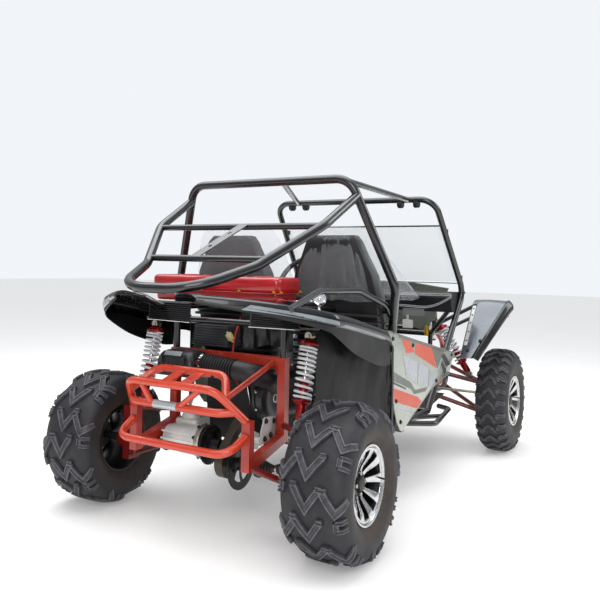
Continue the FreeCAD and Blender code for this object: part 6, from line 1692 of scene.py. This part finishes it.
# Constant velocity joint at the inner end of the right shaft: a black bowl and a zinc-plated nut
joint, out = shaftLines["right"]
Shape().lathe([(0, 0.001), (0, 0.024), (0.006, 0.034), (0.018, 0.0375), (0.030, 0.034),
               (0.040, 0.022), (0.040, 0.001)],
              joint + out * 0.008, out, 36).piece("jointBowl", "blackRubber", "half_shaft_right")
Shape().lathe([(0, 0.001), (0, 0.0185), (0.012, 0.0185), (0.014, 0.016), (0.014, 0.001)],
              joint + out * 0.098, out, 6).piece("jointNut", "zincPlatedSteel", "half_shaft_right")

# Yellow fluid reservoirs before the front shocks, on a plated bracket
reservoir, bracket = Shape(), Shape()
reservoir.lathe([(0, 0.001), (0, 0.0125), (0.004, 0.0145), (0.078, 0.0145), (0.084, 0.0120),
                 (0.092, 0.0120), (0.092, 0.001)], (0.921, -0.232, 0.630), (0, 0, 1), 28)
bracket.block((0.905, -0.306, 0.722), (1.000, -0.222, 0.727))
bracket.block((0.905, -0.300, 0.727), (0.910, -0.246, 0.772))
reservoir.mirrored().piece("fluidReservoirs", "yellowAnodised")
bracket.mirrored().piece("reservoirBrackets", "zincPlatedSteel", bevelMm=0.8)
print("cabin")

# Camera where the photographer stood, at the car's right rear corner, low and with a short lens
cameraLook = {"place": (-3.3765, -1.669, 1.032), "yaw": 33.0, "pitch": 2.83, "roll": 1.218,
              "lens": 43.548, "shift": (0.1003, -0.119)}


def makeCamera(look):
    yaw, pitch, roll = [math.radians(look[key]) for key in ("yaw", "pitch", "roll")]
    ahead = Vector((math.cos(pitch) * math.cos(yaw), math.cos(pitch) * math.sin(yaw),
                    math.sin(pitch)))
    across = ahead.cross(Vector((0, 0, 1))).normalized()
    upward = across.cross(ahead)
    first = across * math.cos(roll) + upward * math.sin(roll)
    second = upward * math.cos(roll) - across * math.sin(roll)
    data = bpy.data.cameras.new("camera")
    data.lens, data.sensor_width = look["lens"], 36
    data.shift_x, data.shift_y = look["shift"]
    camera = bpy.data.objects.new("camera", data)
    camera.matrix_world = Matrix.Translation(look["place"]) @ Matrix(
        (first, second, -ahead)).transposed().to_4x4()
    scene.collection.objects.link(camera)
    scene.camera = camera


# A pale floor under an overcast sky that is bright above and dim at the horizon, with a wide
# soft light overhead, so that tubes keep a sharp pale line on top and stay deep below
studio = {"floor": "#eeedeb", "sky": "#f4f7fb", "backdrop": 0.98, "horizon": 0.24, "zenith": 0.95,
          "lights": (((-0.6, 0.6, 4.6), 5.0, 215), ((-4.6, -2.6, 2.6), 2.6, 85),
                     ((2.4, -4.4, 3.0), 2.6, 80))}


def makeStudio(look):
    floor = Shape().put([(-30, -30, 0), (30, -30, 0), (30, 30, 0), (-30, 30, 0)], [[0, 1, 2, 3]])
    addFinish("paintedStudioFloor", look["floor"], "#ebeae8", 0.6, 0.75, 4, 0.05, patchMm=900,
              glow=0.20)
    sheet = placePiece("studioFloor", floor.mesh("studioFloor"), "paintedStudioFloor", None,
                       smooth=False)
    world = bpy.data.worlds.new("overcastSky")
    world.use_nodes = True
    tree = world.node_tree
    back = tree.nodes["Background"]
    back.inputs["Color"].default_value = toLinear(look["sky"])
    height = addNode(tree, "ShaderNodeSeparateXYZ", None,
                     {0: addNode(tree, "ShaderNodeTexCoord").outputs["Generated"]})
    rise = addNode(tree, "ShaderNodeMapRange",
                   {"From Min": 0.0, "From Max": 0.9, "To Min": look["horizon"],
                    "To Max": look["zenith"]}, {"Value": height.outputs["Z"]})
    seen = addNode(tree, "ShaderNodeMix", {"data_type": "FLOAT"},
                   {"Factor": addNode(tree, "ShaderNodeLightPath").outputs["Is Camera Ray"],
                    2: rise.outputs["Result"]})
    seen.inputs[3].default_value = look["backdrop"]
    tree.links.new(seen.outputs[0], back.inputs["Strength"])
    scene.world = world
    scene.view_settings.view_transform = "Standard"
    for i, (place, width, power) in enumerate(look["lights"]):
        data = bpy.data.lights.new("softBox%d" % i, "AREA")
        data.size, data.energy = width, power
        lamp = bpy.data.objects.new("softBox%d" % i, data)
        lamp.location = place
        lamp.rotation_euler = (Vector((0, 0, 0.6))
                               - Vector(place)).to_track_quat("-Z", "Y").to_euler()
        scene.collection.objects.link(lamp)


makeCamera(cameraLook)
makeStudio(studio)
print("camera and studio")
